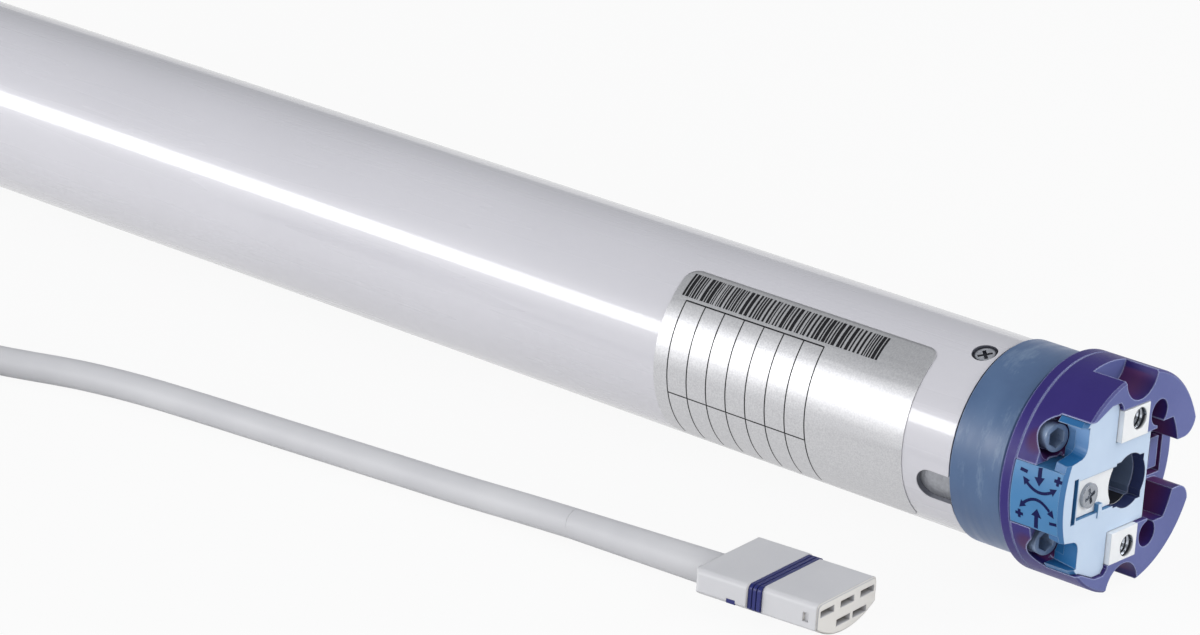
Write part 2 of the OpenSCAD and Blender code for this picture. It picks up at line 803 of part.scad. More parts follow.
// A small hook that holds the frame's plate at its lower edge
module plate_hook() {
  hook_y = frame_left - 2;
  slab(plate_step - 0.3, arm_step - 0.05)
    patch([-hook_y - 0.8, -arm_h / 2 - 1.4], [-hook_y + 0.6, -arm_h / 2 + 1.8]);
}

module head_insert() {
  color("#a9c4e0") union() {
    difference() {
      intersection() {
        insert_blank(0);
        insert_edge();
      }
      frame_blank(seam);
      translate([0, -frame_screw_y, 0]) rod(0, big, frame_screw_shank + tube_fit);
      slab(-cut, arm_step + seam) patch([-arm_len - seam, -arm_h / 2 - seam], [0, arm_h / 2 + seam]);
      centre_hole(-cut, big);
      for (side = [-1, 1]) adjuster_room(side);
      slab(-cut, plate_step + plate_t - 0.6)
        patch([-arm_len - seam - 0.4 - vent_w, -vent_h / 2], [-arm_len - seam - 0.4, vent_h / 2]);
    }
    plate_hook();
  }
}

frame_screw_shank = 1.5;

module mount_frame() {
  color("#e4e4e2") difference() {
    frame_blank(0);
    centre_hole(-cut, big);
    for (side = [-1, 1]) translate([0, 0, side * thread_z]) rod(-cut, thread_depth, thread_d / 2);
    translate([0, -frame_screw_y, 0]) rod(-cut, big, frame_screw_shank);
  }
}

module frame_screw() {
  color("gainsboro") translate([0, -frame_screw_y, 0]) difference() {
    union() {
      rod(arm_step - 0.8, arm_step, frame_screw_d / 2);
      rod(arm_step - 0.1, frame_s1 + 3.5, frame_screw_shank);
    }
    for (turn = [0, 90]) slab(arm_step - 0.8 - cut, arm_step - 0.2) rotate(turn + 20)
      square([frame_screw_d * 0.66, 0.9], center = true);
  }
}

module limit_adjuster(side) {
  at_adjuster(side) rotate([0, 90, 0]) difference() {
    translate([0, 0, -adjuster_len]) cylinder(h = adjuster_len, r = adjuster_d / 2);
    translate([0, 0, -adjuster_len * 0.6])
      cylinder(h = adjuster_len, d = adjuster_af / cos(30), $fn = 6);
  }
}

module limit_adjuster_upper() { color("#9fb0c4") limit_adjuster(1); }
module limit_adjuster_lower() { color("#9fb0c4") limit_adjuster(-1); }

// Limit ring and limit switch

module limit_ring() {
  bevel = 0.4;
  color("#55718f") difference() {
    turned() polygon([
      [spigot_r, -ring_s0],
      [ring_d / 2 - bevel, -ring_s0],
      [ring_d / 2, -ring_s0 - bevel],
      [ring_d / 2, -ring_s1 + bevel],
      [ring_d / 2 - bevel, -ring_s1],
      [spigot_r, -ring_s1]
    ]);
    rod(ring_s0 - cut, gear_s0, journal_r + run_gap);
    rod(gear_s1, ring_s1 + cut, journal_r + run_gap);
    gear_hollow(ring_teeth, limit_m, gear_s0 - 0.1, gear_s1 + 0.1);
  }
}

module ring_retainer() {
  color("#9a9ca0") difference() {
    union() {
      rod(gear_s1 + side_gap, tube_s0, journal_r);
      rod(tube_s0 - 0.1, retainer_s1, fit_r);
    }
    rod(ring_s0, big + retainer_s1, spigot_r + tube_fit);
    screw_holes(screw_s, screw_shank_d / 2);
  }
}

module limit_pinion() {
  color("ivory") translate([0, pinion_y, 0]) {
    gear(pinion_teeth, limit_m, pinion_s0, pinion_s1);
    gear(small_teeth, limit_m, small_s0, small_s1);
    rod(pinion_s0 - 0.2, plate_b_s + chassis_t, journal_pin_r);
  }
}

module limit_spindle(side) {
  direction = 180 - side * atan(spindle_z / (pinion_y - spindle_y));
  translate([0, spindle_y, side * spindle_z]) {
    gear(spindle_teeth, limit_m, small_s0 + 0.2, small_s1 - 0.2,
      mesh_phase(small_teeth, spindle_teeth, direction));
    rod(plate_a_s, small_s0 + 0.3, journal_pin_r);
    rod(small_s1 - 0.3, plate_c_s, spindle_d / 2);
    rod(plate_c_s - 0.1, plate_c_s + chassis_t, journal_pin_r);
  }
}

module limit_spindle_upper() { color("silver") limit_spindle(1); }
module limit_spindle_lower() { color("silver") limit_spindle(-1); }

module limit_nut(side) {
  translate([0, spindle_y, side * spindle_z]) difference() {
    slab(nut_mid_s - nut_len / 2, nut_mid_s + nut_len / 2) square(nut_w, center = true);
    rod(tube_s0, spigot_s1, spindle_d / 2 + run_gap);
  }
}

module limit_nut_upper() { color("goldenrod") limit_nut(1); }
module limit_nut_lower() { color("goldenrod") limit_nut(-1); }

module switch_chassis() {
  strut_h = sqrt(pow(chassis_r, 2) - pow(strut_y + strut_t, 2)) - 0.2;
  rail_h = spindle_z - nut_w / 2 - side_gap;
  color("#e8e4d8") difference() {
    union() {
      for (s = [plate_a_s, plate_b_s, plate_c_s]) rod(s, s + chassis_t, chassis_r);
      slab(plate_a_s, plate_c_s + chassis_t)
        patch([-strut_y - strut_t, -strut_h], [-strut_y, strut_h]);
      slab(plate_b_s, plate_c_s + chassis_t) patch([0, -rail_h], [spindle_y + nut_w / 2, rail_h]);
    }
    translate([0, pinion_y, 0]) rod(plate_a_s - cut, plate_b_s + chassis_t + cut, journal_pin_r + run_gap);
    for (side = [-1, 1]) translate([0, spindle_y, side * spindle_z]) {
      rod(plate_a_s - cut, plate_a_s + chassis_t + cut, journal_pin_r + run_gap);
      rod(plate_b_s - cut, plate_b_s + chassis_t + cut, spindle_d / 2 + run_gap);
      rod(plate_c_s - cut, plate_c_s + chassis_t + cut, journal_pin_r + run_gap);
    }
  }
}

// A microswitch on the chassis strut, with its lever beside the nut's way
module microswitch(side, s0) {
  mirror([0, 0, side < 0 ? 1 : 0]) {
    slab(s0, s0 + switch_len) patch([-strut_y, 3.6], [-strut_y + 6.4, 9.4]);
    slab(s0 + 1, s0 + 1.6) patch([-strut_y + 6.3, 5], [spindle_y - nut_w / 2 - 2 * side_gap, 8]);
  }
}

module microswitch_upper() { color("#2f2f33") microswitch(1, thread_s0 + 1); }
module microswitch_lower() { color("#2f2f33") microswitch(-1, plate_c_s - switch_len - 1); }

// Contacts as [across, up from the curved side] on the plug's front face
contacts = concat(
  [for (i = [-1 : 1]) [i * contact_step, contact_rows[0]]],
  [for (i = [-0.5, 0.5]) [lower_shift + i * lower_step, contact_rows[1]]]
);

module plug_socket() {
  color("#3a3a40") difference() {
    plug_pocket(plug_depth, pocket_s1, plug_gap - tube_fit);
    for (c = contacts) slab(plug_depth - cut, pocket_s1 + cut)
      translate([plug_y + plug_t - c.y, -c.x]) square([pin_h, pin_w], center = true);
  }
}

module socket_pins() {
  color("gold") for (c = contacts) slab(plug_depth - 8, pocket_s1)
    translate([plug_y + plug_t - c.y, -c.x]) square([pin_h, pin_w], center = true);
}

// Motor

module capacitor() {
  color("#dcdcdc") {
    rod(capacitor_s0, capacitor_s0 + capacitor_len, capacitor_d / 2);
    for (side = [-1, 1]) slab(capacitor_s0 - 6, capacitor_s0 + 0.1)
      translate([side * capacitor_d / 5, 0]) square([0.8, 6.3], center = true);
  }
}

module capacitor_sleeve() {
  color("#4b4b50") pipe(sleeve_s0, sleeve_s0 + sleeve_len, fit_r, capacitor_d / 2 + tube_fit);
}

// An end shield with its bearing seat on one face
module shield(s0, s1, seat_s0, seat_s1) {
  difference() {
    rod(s0, s1, fit_r);
    rod(s0 - cut, s1 + cut, shaft_d / 2 + 1);
    rod(seat_s0, seat_s1, bearing_d / 2 + tube_fit / 2);
  }
}

module front_shield() {
  color("#a8aaae") shield(front_s0, front_s1, front_s1 - bearing_w - 0.5, front_s1 + cut);
}

module rear_shield() {
  color("#a8aaae") shield(rear_s0, rear_s1, rear_s0 - cut, rear_s0 + bearing_w + 0.5);
}

module shaft_bearings() {
  color("silver") for (s = [front_s1 - bearing_w - 0.3, rear_s0 + 0.3])
    pipe(s, s + bearing_w, bearing_d / 2, shaft_d / 2 + run_gap);
}

module stator_slot_places() {
  for (i = [0 : stator_slots - 1]) rotate(360 * i / stator_slots) children();
}

module stator_core() {
  color("#7d8086") difference() {
    pipe(stator_s0, stator_s1, fit_r, stator_ri);
    slab(stator_s0 - cut, stator_s1 + cut) stator_slot_places()
      patch([slot_r0, -slot_side / 2], [slot_r1, slot_side / 2]);
  }
}

module stator_windings() {
  inset = 0.1;
  color("#b5652b") {
    slab(stator_s0 - 0.1, stator_s1 + 0.1) stator_slot_places()
      patch([slot_r0 + inset, -slot_side / 2 + inset], [slot_r1 - inset, slot_side / 2 - inset]);
    for (s = [stator_s0 - end_turn, stator_s1]) pipe(s, s + end_turn, slot_r1 - inset, slot_r0 + inset);
  }
}

module rotor_core() {
  color("#8d9096") pipe(stator_s0, stator_s1, rotor_r, shaft_d / 2);
}

module rotor_shaft() {
  color("lightsteelblue") difference() {
    rod(front_s1 - bearing_w - 0.4, shaft_s1, shaft_d / 2);
    rod(shaft_s1 - 8, shaft_s1 + cut, pinion_bore_r);
  }
}

// Brake

module brake_disc() {
  color("#5a4a42") pipe(disc_s0, disc_s1, brake_d / 2, shaft_d / 2);
}

module brake_guides(s0, s1, r) {
  for (i = [0 : 2]) around(30 + 120 * i) translate([0, guide_reach, 0]) rod(s0, s1, r);
}

module brake_armature() {
  color("#6f7378") difference() {
    pipe(armature_s0, armature_s1, guide_reach + guide_r + 0.6, shaft_d / 2 + 0.6);
    brake_guides(armature_s0 - cut, armature_s1 + cut, guide_r + run_gap);
  }
}

module brake_magnet() {
  color("#7b5a36") {
    difference() {
      rod(magnet_s0, magnet_s1, fit_r);
      rod(magnet_s0 - cut, magnet_s1 + cut, shaft_d / 2 + 0.6);
      rod(magnet_s0 - cut, magnet_s0 + spring_seat, spring_r1 + side_gap);
    }
    brake_guides(armature_s0 + 0.2, magnet_s0 + 0.1, guide_r);
  }
}

module brake_spring() {
  sheet = 0.5;
  low = armature_s1 + 0.06;
  high = magnet_s0 + spring_seat - 0.05;
  color("steelblue") turned() polygon([
    [spring_r0, -low],
    [spring_r0 + sheet, -low],
    [spring_r1, -high],
    [spring_r1 - sheet, -high]
  ]);
}

// Gearbox

module motor_pinion() {
  color("silver") {
    gear(sun_teeth, gear_m, one_s0 - 0.6, one_s1);
    rod(shaft_s1 - 7.6, one_s0 - 0.5, pinion_bore_r);
  }
}

module ring_gear() {
  color("#8a8c90") difference() {
    rod(annulus_s0, annulus_s1, fit_r);
    gear_hollow(annulus_teeth, gear_m, annulus_s0 - cut, annulus_s1 + cut);
  }
}

function planet_at(i) = 120 * i;

module planet(i, s0, s1) {
  translate([0, planet_r * cos(planet_at(i)), planet_r * sin(planet_at(i))]) difference() {
    gear(planet_teeth, gear_m, s0, s1, mesh_phase(sun_teeth, planet_teeth, planet_at(i)));
    rod(s0 - cut, s1 + cut, pin_d / 2 + run_gap);
  }
}

module planet_one_a() { color("#c8b070") planet(0, one_s0, one_s1); }
module planet_one_b() { color("#c8b070") planet(1, one_s0, one_s1); }
module planet_one_c() { color("#c8b070") planet(2, one_s0, one_s1); }
module planet_two_a() { color("#c8b070") planet(0, two_s0, two_s1); }
module planet_two_b() { color("#c8b070") planet(1, two_s0, two_s1); }
module planet_two_c() { color("#c8b070") planet(2, two_s0, two_s1); }

module carrier_pins(s0, s1) {
  for (i = [0 : 2]) translate([0, planet_r * cos(planet_at(i)), planet_r * sin(planet_at(i))])
    rod(s0, s1, pin_d / 2);
}

module carrier_one() {
  color("#9aa0a8") {
    rod(carrier_one_s0, carrier_one_s1, carrier_r);
    carrier_pins(one_s0, carrier_one_s0 + 0.1);
    gear(sun_teeth, gear_m, carrier_one_s1 - 0.1, two_s1);
  }
}

module carrier_two() {
  color("#9aa0a8") {
    pipe(carrier_two_s0, carrier_two_s1, carrier_r, drive_d / 2);
    carrier_pins(two_s0, carrier_two_s0 + 0.1);
  }
}

// Output end

module gearbox_flange() {
  color("#9c9ea3") difference() {
    pipe(flange_s0, flange_s1, fit_r, output_d / 2 + bush_wall + tube_fit / 2);
    screw_holes(flange_screw_s, screw_shank_d / 2);
  }
}

module output_bush() {
  color("#b08d57") pipe(flange_s0, flange_s1, output_d / 2 + bush_wall, output_d / 2 + run_gap);
}

clip_t = 1.2;
clip_s = tube_s1 + drive_len - 3;
clip_depth = 1;

module output_shaft() {
  color("#b9bcc2") difference() {
    union() {
      rod(carrier_two_s0, carrier_two_s1 + 0.1, drive_d / 2);
      rod(carrier_two_s1, tube_s1 + 1, output_d / 2);
      intersection() {
        rod(tube_s1, tube_s1 + 1 + drive_len, drive_d / 2);
        slab(tube_s1, tube_s1 + 1 + drive_len) square([2 * drive_d, drive_flat], center = true);
      }
    }
    pipe(clip_s, clip_s + clip_t, drive_d, drive_flat / 2 - clip_depth);
  }
}

module tube_end_cap() {
  color("#3c3c42") pipe(cap_s0, tube_s1, fit_r, output_d / 2 + side_gap);
}

module retaining_clip() {
  color("#55585e") difference() {
    pipe(clip_s + 0.1, clip_s + clip_t - 0.1, drive_d / 2 + 2, drive_flat / 2 - clip_depth + tube_fit);
    slab(clip_s - cut, clip_s + clip_t + cut) patch([0, -drive_flat / 2 + 1.4], [big, drive_flat / 2 - 1.4]);
  }
}

// Plug and mains lead

// Frame of the plug on the floor: its own X points out of its contacts and 0 is its rear face
module at_plug() {
  translate([plug_rear.x, plug_rear.y, floor_z + 0.02]) rotate([0, 0, plug_heading]) children();
}

// What a rounded corner at the origin leaves of a square one that points along -X and +Y
module corner_waste(r) {
  difference() {
    translate([-1, -r]) square([r + 1, r + 1]);
    translate([r, -r]) circle(r, $fn = 32);
  }
}

// A length of the plug's section, flat side up, with its upper edges rounded
module plug_length(x0, x1, gap, wider = 0) {
  translate([x0, 0, plug_t]) rotate([0, 90, 0]) linear_extrude(x1 - x0) difference() {
    plug_section(gap, wider);
    for (side = [0, 1]) mirror([0, side]) translate([-gap, plug_w / 2 + wider + gap]) corner_waste(plug_round);
  }
}

seal_x0 = plug_len / 2 - seal_w / 2 - 0.4;
seal_depth = 0.8;
contact_depth = 12;

module plug_body() {
  color("#c9cacf") at_plug() difference() {
    union() {
      plug_length(0, plug_len - plug_lip, 0);
      plug_length(0, plug_len, -plug_lip);
      plug_length(0, seal_x0 + seal_w / 2, 0, plug_step);
    }
    for (side = [0, 1]) mirror([0, side]) translate([0, plug_w / 2 + plug_step, -1])
      linear_extrude(plug_t + 2) corner_waste(plug_round);
    difference() {
      plug_length(seal_x0, seal_x0 + seal_w, cut, plug_step);
      plug_length(seal_x0 - cut, seal_x0 + seal_w + cut, -seal_depth);
    }
    for (c = contacts) translate([plug_len - contact_depth, c.x - contact_w / 2, c.y - contact_h / 2])
      cube([contact_depth + cut, contact_w, contact_h]);
    translate([seal_x0 - 4.9, -plug_w / 2 - plug_step - cut, plug_t - 5.4]) cube([2.2, cut + 0.8, 1]);
    translate([plug_len - 3.6, -plug_w / 2 - cut, plug_t - 4.4]) cube([1.4, cut + 0.8, 2]);
  }
}

module plug_seal() {
  color("#26357f") at_plug() {
    difference() {
      plug_length(seal_x0 + 0.05, seal_x0 + seal_w - 0.05, 0, plug_step / 2);
      plug_length(seal_x0 - cut, seal_x0 + seal_w + cut, -seal_depth);
      for (x = [1, 2]) difference() {
        plug_length(seal_x0 + seal_w * x / 3 - 0.15, seal_x0 + seal_w * x / 3 + 0.15, cut, plug_step);
        plug_length(seal_x0 - cut, seal_x0 + seal_w + cut, -0.3, plug_step / 2);
      }
    }
    translate([seal_x0 - 4.9, -plug_w / 2 - plug_step + 0.05, plug_t - 5.4]) cube([2.2, 0.75, 1]);
  }
}

module plug_contacts() {
  wall = 0.25;
  color("gold") at_plug() for (c = contacts) translate([plug_len - contact_depth, c.x, c.y]) difference() {
    translate([0, -contact_w / 2, -contact_h / 2]) cube([contact_depth - 2, contact_w, contact_h]);
    translate([1, -contact_w / 2 + wall, -contact_h / 2 + wall])
      cube([contact_depth, contact_w - 2 * wall, contact_h - 2 * wall]);
  }
}

module cable_boot() {
  color("#cfcfd4") at_plug() translate([-boot_len, 0, boot_rise - 0.02]) rotate([0, 90, 0])
    cylinder(h = boot_len, r1 = cable_r, r2 = boot_d / 2);
}

module cable() {
  color("#d2d2d6") swept_tube(lead_route, cable_r, lead_sides);
}

// The coil: one layer spirals in, the next spirals out on top of it
function coil_radius(t) = coil_inner + coil_step * abs(t) / 360;
function coil_height(t) = coil_low + coil_rise * min(1, max(0, (t + 90) / 180));
function coil_point(t) =
  let (a = coil_angle + coil_in + t)
  [coil_centre.x + coil_radius(t) * cos(a), coil_centre.y + coil_radius(t) * sin(a), coil_height(t)];
coil_count = round((coil_in + coil_out) / 360 * coil_rings);
coil_path = concat(
  [[coil_entry.x, coil_entry.y, coil_low]],
  [for (i = [0 : coil_count]) coil_point(-coil_in + i * (coil_in + coil_out) / coil_count)]
);

module cable_coil() {
  color("#d2d2d6") swept_tube(coil_path, cable_r, coil_sides);
}

// Least gap between parts of the coil that lie more than half a turn apart along it
coil_gap = min([
  for (i = [0 : len(coil_path) - 1])
    for (j = [i + coil_rings / 2 : 1 : len(coil_path) - 1]) norm(coil_path[i] - coil_path[j])
]) - cable_d;
echo(coil_gap = coil_gap);
function path_length(p, i = 0) = i + 1 >= len(p) ? 0 : norm(p[i + 1] - p[i]) + path_length(p, i + 1);
lead_length = boot_len + path_length(lead_route) + path_length(coil_path);
echo(lead_length = lead_length);

// A flat tie round the whole section of the coil, at a place where both layers are there
tie_turn = 150;

// Outline of the tie around both layers, grown by a distance
module tie_outline(grow) {
  clear = 0.3 + grow;
  low_r = coil_radius(tie_turn - 180) - cable_r - clear;
  high_r = coil_radius(tie_turn - coil_in) + cable_r + clear;
  top_r = coil_radius(coil_out) + cable_r + clear;
  mid_z = tie_t + cable_d + clear;
  top_z = tie_t + cable_d + coil_rise + 0.1 + grow;
  polygon([
    [low_r, tie_t - grow],
    [high_r, tie_t - grow],
    [high_r, mid_z],
    [top_r, top_z],
    [low_r, top_z]
  ]);
}

module cable_tie() {
  color("#2b2b2e") translate([coil_centre.x, coil_centre.y, floor_z + 0.02])
    rotate([0, 0, coil_angle + tie_turn]) rotate([90, 0, 0])
    translate([0, 0, -tie_w / 2]) linear_extrude(tie_w) difference() {
      tie_outline(tie_t);
      tie_outline(0);
    }
}

// Four stripped cores that go on along the spiral, over the lower layer
core_spread = core_d / 2 + 0.05;
core_turn = core_len / coil_radius(coil_out) * 180 / PI;
function core_offset(k) = [core_spread * (k % 2 == 0 ? 1 : -1), core_spread * (k < 2 ? 1 : -1)];
function core_path(k, t0, t1, n) = [
  for (i = [0 : n])
    let (t = t0 + (t1 - t0) * i / n, p = coil_point(t), a = coil_angle + coil_in + t, o = core_offset(k))
    p + [o.x * cos(a), o.x * sin(a), o.y]
];
ferrule_turn = 10 / coil_radius(coil_out) * 180 / PI;

module core_wires() {
  core_colors = ["#7a4a20", "#2a2a2c", "#2f55b8", "#8fae2c"];
  for (k = [0 : 3]) color(core_colors[k])
    swept_tube(core_path(k, coil_out + 0.02, coil_out + core_turn - ferrule_turn, 6), core_d / 2, 8);
}

module core_ferrules() {
  color("silver") for (k = [0 : 3])
    swept_tube(core_path(k, coil_out + core_turn - ferrule_turn + 0.02, coil_out + core_turn, 2), core_d / 2 - 0.2, 8);
}

motor_tube();
rating_label();
tube_screws();
head_housing();
head_insert();
mount_frame();
frame_screw();
limit_adjuster_upper();
limit_adjuster_lower();
limit_ring();
ring_retainer();
limit_pinion();
limit_spindle_upper();
limit_spindle_lower();
limit_nut_upper();
limit_nut_lower();
switch_chassis();
microswitch_upper();
microswitch_lower();
plug_socket();
socket_pins();
capacitor();
capacitor_sleeve();
front_shield();
rear_shield();
shaft_bearings();
stator_core();
stator_windings();
rotor_core();
rotor_shaft();
brake_disc();
brake_armature();
brake_magnet();
brake_spring();
motor_pinion();
ring_gear();
planet_one_a();
planet_one_b();
planet_one_c();
carrier_one();
planet_two_a();
planet_two_b();
planet_two_c();
carrier_two();
gearbox_flange();
output_bush();
output_shaft();
tube_end_cap();
retaining_clip();
plug_body();
plug_seal();
plug_contacts();
cable_boot();
cable();
cable_coil();
cable_tie();
core_wires();
core_ferrules();
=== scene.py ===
import math
import random

import bpy
from mathutils import Matrix, Vector


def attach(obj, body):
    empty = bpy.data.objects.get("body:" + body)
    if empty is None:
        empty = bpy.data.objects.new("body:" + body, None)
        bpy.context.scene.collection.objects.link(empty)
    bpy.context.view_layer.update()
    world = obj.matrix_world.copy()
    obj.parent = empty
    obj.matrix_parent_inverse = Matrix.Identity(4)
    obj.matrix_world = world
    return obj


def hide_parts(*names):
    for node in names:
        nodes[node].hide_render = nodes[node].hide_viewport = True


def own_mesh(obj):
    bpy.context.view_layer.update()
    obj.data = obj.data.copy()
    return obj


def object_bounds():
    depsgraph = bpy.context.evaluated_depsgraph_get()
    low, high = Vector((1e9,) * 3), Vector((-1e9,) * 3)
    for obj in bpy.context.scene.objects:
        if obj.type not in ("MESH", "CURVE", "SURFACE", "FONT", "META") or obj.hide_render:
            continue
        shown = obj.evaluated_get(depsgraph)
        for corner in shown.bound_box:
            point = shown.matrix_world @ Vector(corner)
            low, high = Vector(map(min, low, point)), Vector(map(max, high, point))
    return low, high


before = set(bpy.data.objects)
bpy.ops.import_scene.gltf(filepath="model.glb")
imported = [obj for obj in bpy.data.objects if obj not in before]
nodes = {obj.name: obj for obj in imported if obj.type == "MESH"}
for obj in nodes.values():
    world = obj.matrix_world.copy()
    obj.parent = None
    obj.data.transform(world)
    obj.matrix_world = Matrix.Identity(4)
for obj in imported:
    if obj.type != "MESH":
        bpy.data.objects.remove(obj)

cad_box = [list(v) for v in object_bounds()]
scene = bpy.context.scene
BODY = "motor_body"
MM = 0.001
UP = Vector((0, 0, 1))
# The part rests on the floor
FLOOR = cad_box[0][2]


def add_object(name, data):
    o = bpy.data.objects.new(name, data)
    scene.collection.objects.link(o)
    return o


def level_right(back):
    """The way to the right for a camera or lamp that is held level."""
    return UP.cross(back).normalized()


def aimed(place, right, back):
    """The matrix of a camera or lamp, from the ways to its right and behind it."""
    matrix = Matrix((right, back.cross(right), back)).transposed().to_4x4()
    matrix.translation = place
    return matrix


# Camera at the photograph's view: angles in degrees, places in metres, lens and sensor in millimetres
CAMERA = dict(azimuth=39.23, elevation=19.39, roll=3.916, aim=(-0.14994, 0.0, -0.004394), distance=1.14168,
              lens=147.48, sensor=36, near=0.05, far=50)


def make_camera():
    azimuth, elevation, roll = (math.radians(CAMERA[k]) for k in ("azimuth", "elevation", "roll"))
    flat = math.cos(elevation)
    back = Vector((math.sin(azimuth) * flat, -math.cos(azimuth) * flat, math.sin(elevation)))
    right = level_right(back)
    right = right * math.cos(roll) + back.cross(right) * math.sin(roll)
    data = bpy.data.cameras.new("camera")
    data.lens = CAMERA["lens"]
    data.sensor_width = CAMERA["sensor"]
    data.clip_start = CAMERA["near"]
    data.clip_end = CAMERA["far"]
    camera = add_object("camera", data)
    camera.matrix_world = aimed(Vector(CAMERA["aim"]) + CAMERA["distance"] * back, right, back)
    scene.camera = camera


make_camera()


# Colours are written as 0 to 255 and turned into linear light by the sRGB curve
def rgb(*levels):
    out = []
    for level in levels:
        v = level / 255
        out.append(v / 12.92 if v <= 0.04045 else ((v + 0.055) / 1.055) ** 2.4)
    return tuple(out) + (1.0,)


def shade(colour, factor):
    return tuple(min(1.0, v * factor) for v in colour[:3]) + (1.0,)


# Where most values of a noise lie
NOISE_RANGE = (0.3, 0.7)
# How far a rounded normal agrees with the true one, on a flat stretch and on a sharp edge
EDGE_RANGE = (0.97, 0.78)
BEVEL_SAMPLES = 6


class Mat:
    """A material whose nodes are added by short calls."""

    def __init__(self, name):
        self.material = bpy.data.materials.new(name)
        self.material.use_nodes = True
        self.tree = self.material.node_tree
        self.tree.nodes.clear()
        self.place = self.add("TexCoord").outputs["Object"]

    def add(self, kind, **settings):
        node = self.tree.nodes.new("ShaderNode" + kind)
        for key, value in settings.items():
            setattr(node, key, value)
        return node

    def put(self, node, sockets):
        for key, value in sockets.items():
            if isinstance(value, bpy.types.NodeSocket):
                self.tree.links.new(value, node.inputs[key])
            else:
                node.inputs[key].default_value = value
        return node

    def calc(self, operation, *values):
        node = self.add("Math", operation=operation)
        return self.put(node, dict(enumerate(values))).outputs[0]

    def plus(self, a, b):
        return self.calc("ADD", a, b)

    def minus(self, a, b):
        return self.calc("SUBTRACT", a, b)

    def times(self, a, b):
        return self.calc("MULTIPLY", a, b)

    def size(self, a):
        return self.calc("ABSOLUTE", a)

    def along(self, a, b, turn):
        """How far two coordinates reach in the direction of an angle."""
        return self.calc("MULTIPLY_ADD", a, math.cos(turn), self.times(b, math.sin(turn)))

    def far(self, *pairs):
        """Distance from a place, given as pairs of a coordinate and its value there."""
        total = 0.0
        for source, value in pairs:
            d = self.minus(source, value)
            total = self.calc("MULTIPLY_ADD", d, d, total)
        return self.calc("SQRT", total)

    def split(self, source):
        return list(self.put(self.add("SeparateXYZ"), {0: source}).outputs)

    def off_axis(self):
        """Distance from the tube's axis."""
        return self.far(*((side, 0.0) for side in self.split(self.place)[1:]))

    def stretch(self, scale):
        return self.put(self.add("Mapping"), {"Vector": self.place, "Scale": scale}).outputs[0]

    def noise(self, scale, detail=2.0, rough=0.5, at=None):
        sockets = {"Vector": at or self.place, "Scale": scale, "Detail": detail, "Roughness": rough}
        return self.put(self.add("TexNoise"), sockets).outputs[0]

    def span(self, value, start, end, low=0.0, high=1.0):
        """The value's way from start to end, as low to high."""
        sockets = {"Value": value, "From Min": start, "From Max": end, "To Min": low, "To Max": high}
        return self.put(self.add("MapRange"), sockets).outputs[0]

    def vary(self, noise, low=0.0, high=1.0):
        return self.span(noise, *NOISE_RANGE, low, high)

    def mix(self, share, a, b):
        return self.put(self.add("Mix", data_type="RGBA"), {0: share, 6: a, 7: b}).outputs[2]

    def normal(self):
        return self.add("NewGeometry").outputs["True Normal"]

    def rounded(self, radius):
        return self.put(self.add("Bevel", samples=BEVEL_SAMPLES), {"Radius": radius}).outputs[0]

    def edge(self, radius, weight):
        """The weight along sharp edges, 0 elsewhere, where a highlight is painted."""
        node = self.add("VectorMath", operation="DOT_PRODUCT")
        self.put(node, {0: self.rounded(radius), 1: self.normal()})
        return self.times(self.span(node.outputs["Value"], *EDGE_RANGE), weight)

    def bump(self, height, strength, distance, bevel=0.0):
        sockets = {"Height": height, "Strength": strength, "Distance": distance}
        if bevel:
            sockets["Normal"] = self.rounded(bevel)
        return self.put(self.add("Bump"), sockets).outputs[0]

    def output(self, shader):
        self.tree.links.new(shader.outputs[0], self.add("OutputMaterial").inputs[0])
        return self.material

    def done(self, **sockets):
        named = {key.replace("_", " "): value for key, value in sockets.items()}
        return self.output(self.put(self.add("BsdfPrincipled"), named))


# A surface's broad noise, the share of it in the colour, and how far the gloss goes either way
BROAD_SCALE = 55.0
BROAD_SHARE = 0.6
GLOSS_DRIFT = 0.15


# A moulded or cast surface: drift and grain in its colour, gloss that varies, fine relief and soft edges
def surface(name, colour, rough, drift, grain, relief=0.00002, metal=0.0, pull=(1, 1, 1), bevel=0.0002,
            strength=0.25, spec=0.5):
    m = Mat(name)
    at = m.stretch(pull)
    broad = m.noise(BROAD_SCALE, 3.0, 0.55, at)
    fine = m.noise(grain, 3.0, 0.6, at)
    both = m.plus(m.times(broad, BROAD_SHARE), m.times(fine, 1 - BROAD_SHARE))
    tint = m.mix(m.vary(both), shade(colour, 1 - drift), shade(colour, 1 + drift))
    low, high = rough * (1 - GLOSS_DRIFT), rough * (1 + GLOSS_DRIFT)
    gloss = m.span(m.plus(fine, m.times(broad, 0.5)), 0.4, 1.1, low, high)
    return m.done(Base_Color=tint, Roughness=gloss, Metallic=metal, Specular_IOR_Level=spec,
                  Normal=m.bump(fine, strength, relief, bevel))


# Radii of the tube and of the head's centre bore, and the width of a blend between colours, in metres
TUBE_R = 0.0225
BORE_R = 0.0074
BLEND = 0.0002


def tube_metal():
    """White lacquer over drawn metal, with painted shade on the walls of its holes and cuts."""
    m = Mat("tube_metal")
    peel = m.noise(260.0)
    broad = m.noise(14.0)
    drawn = m.noise(240.0, at=m.stretch((0.04, 1, 1)))
    tint = m.mix(m.vary(broad), rgb(203, 202, 208), rgb(208, 207, 213))
    # Painted shade on every surface inside the outer skin: the walls of holes and slots and the tube's inside
    cut = m.span(m.off_axis(), TUBE_R - 0.3 * BLEND, TUBE_R - BLEND)
    tint = m.mix(cut, tint, rgb(84, 86, 96))
    return m.done(Base_Color=tint, Roughness=m.vary(drawn, 0.24, 0.32), Coat_Weight=0.6, Coat_Roughness=0.05,
                  Normal=m.bump(m.plus(m.times(peel, 0.4), drawn), 0.04, 0.00002, 0.00025))
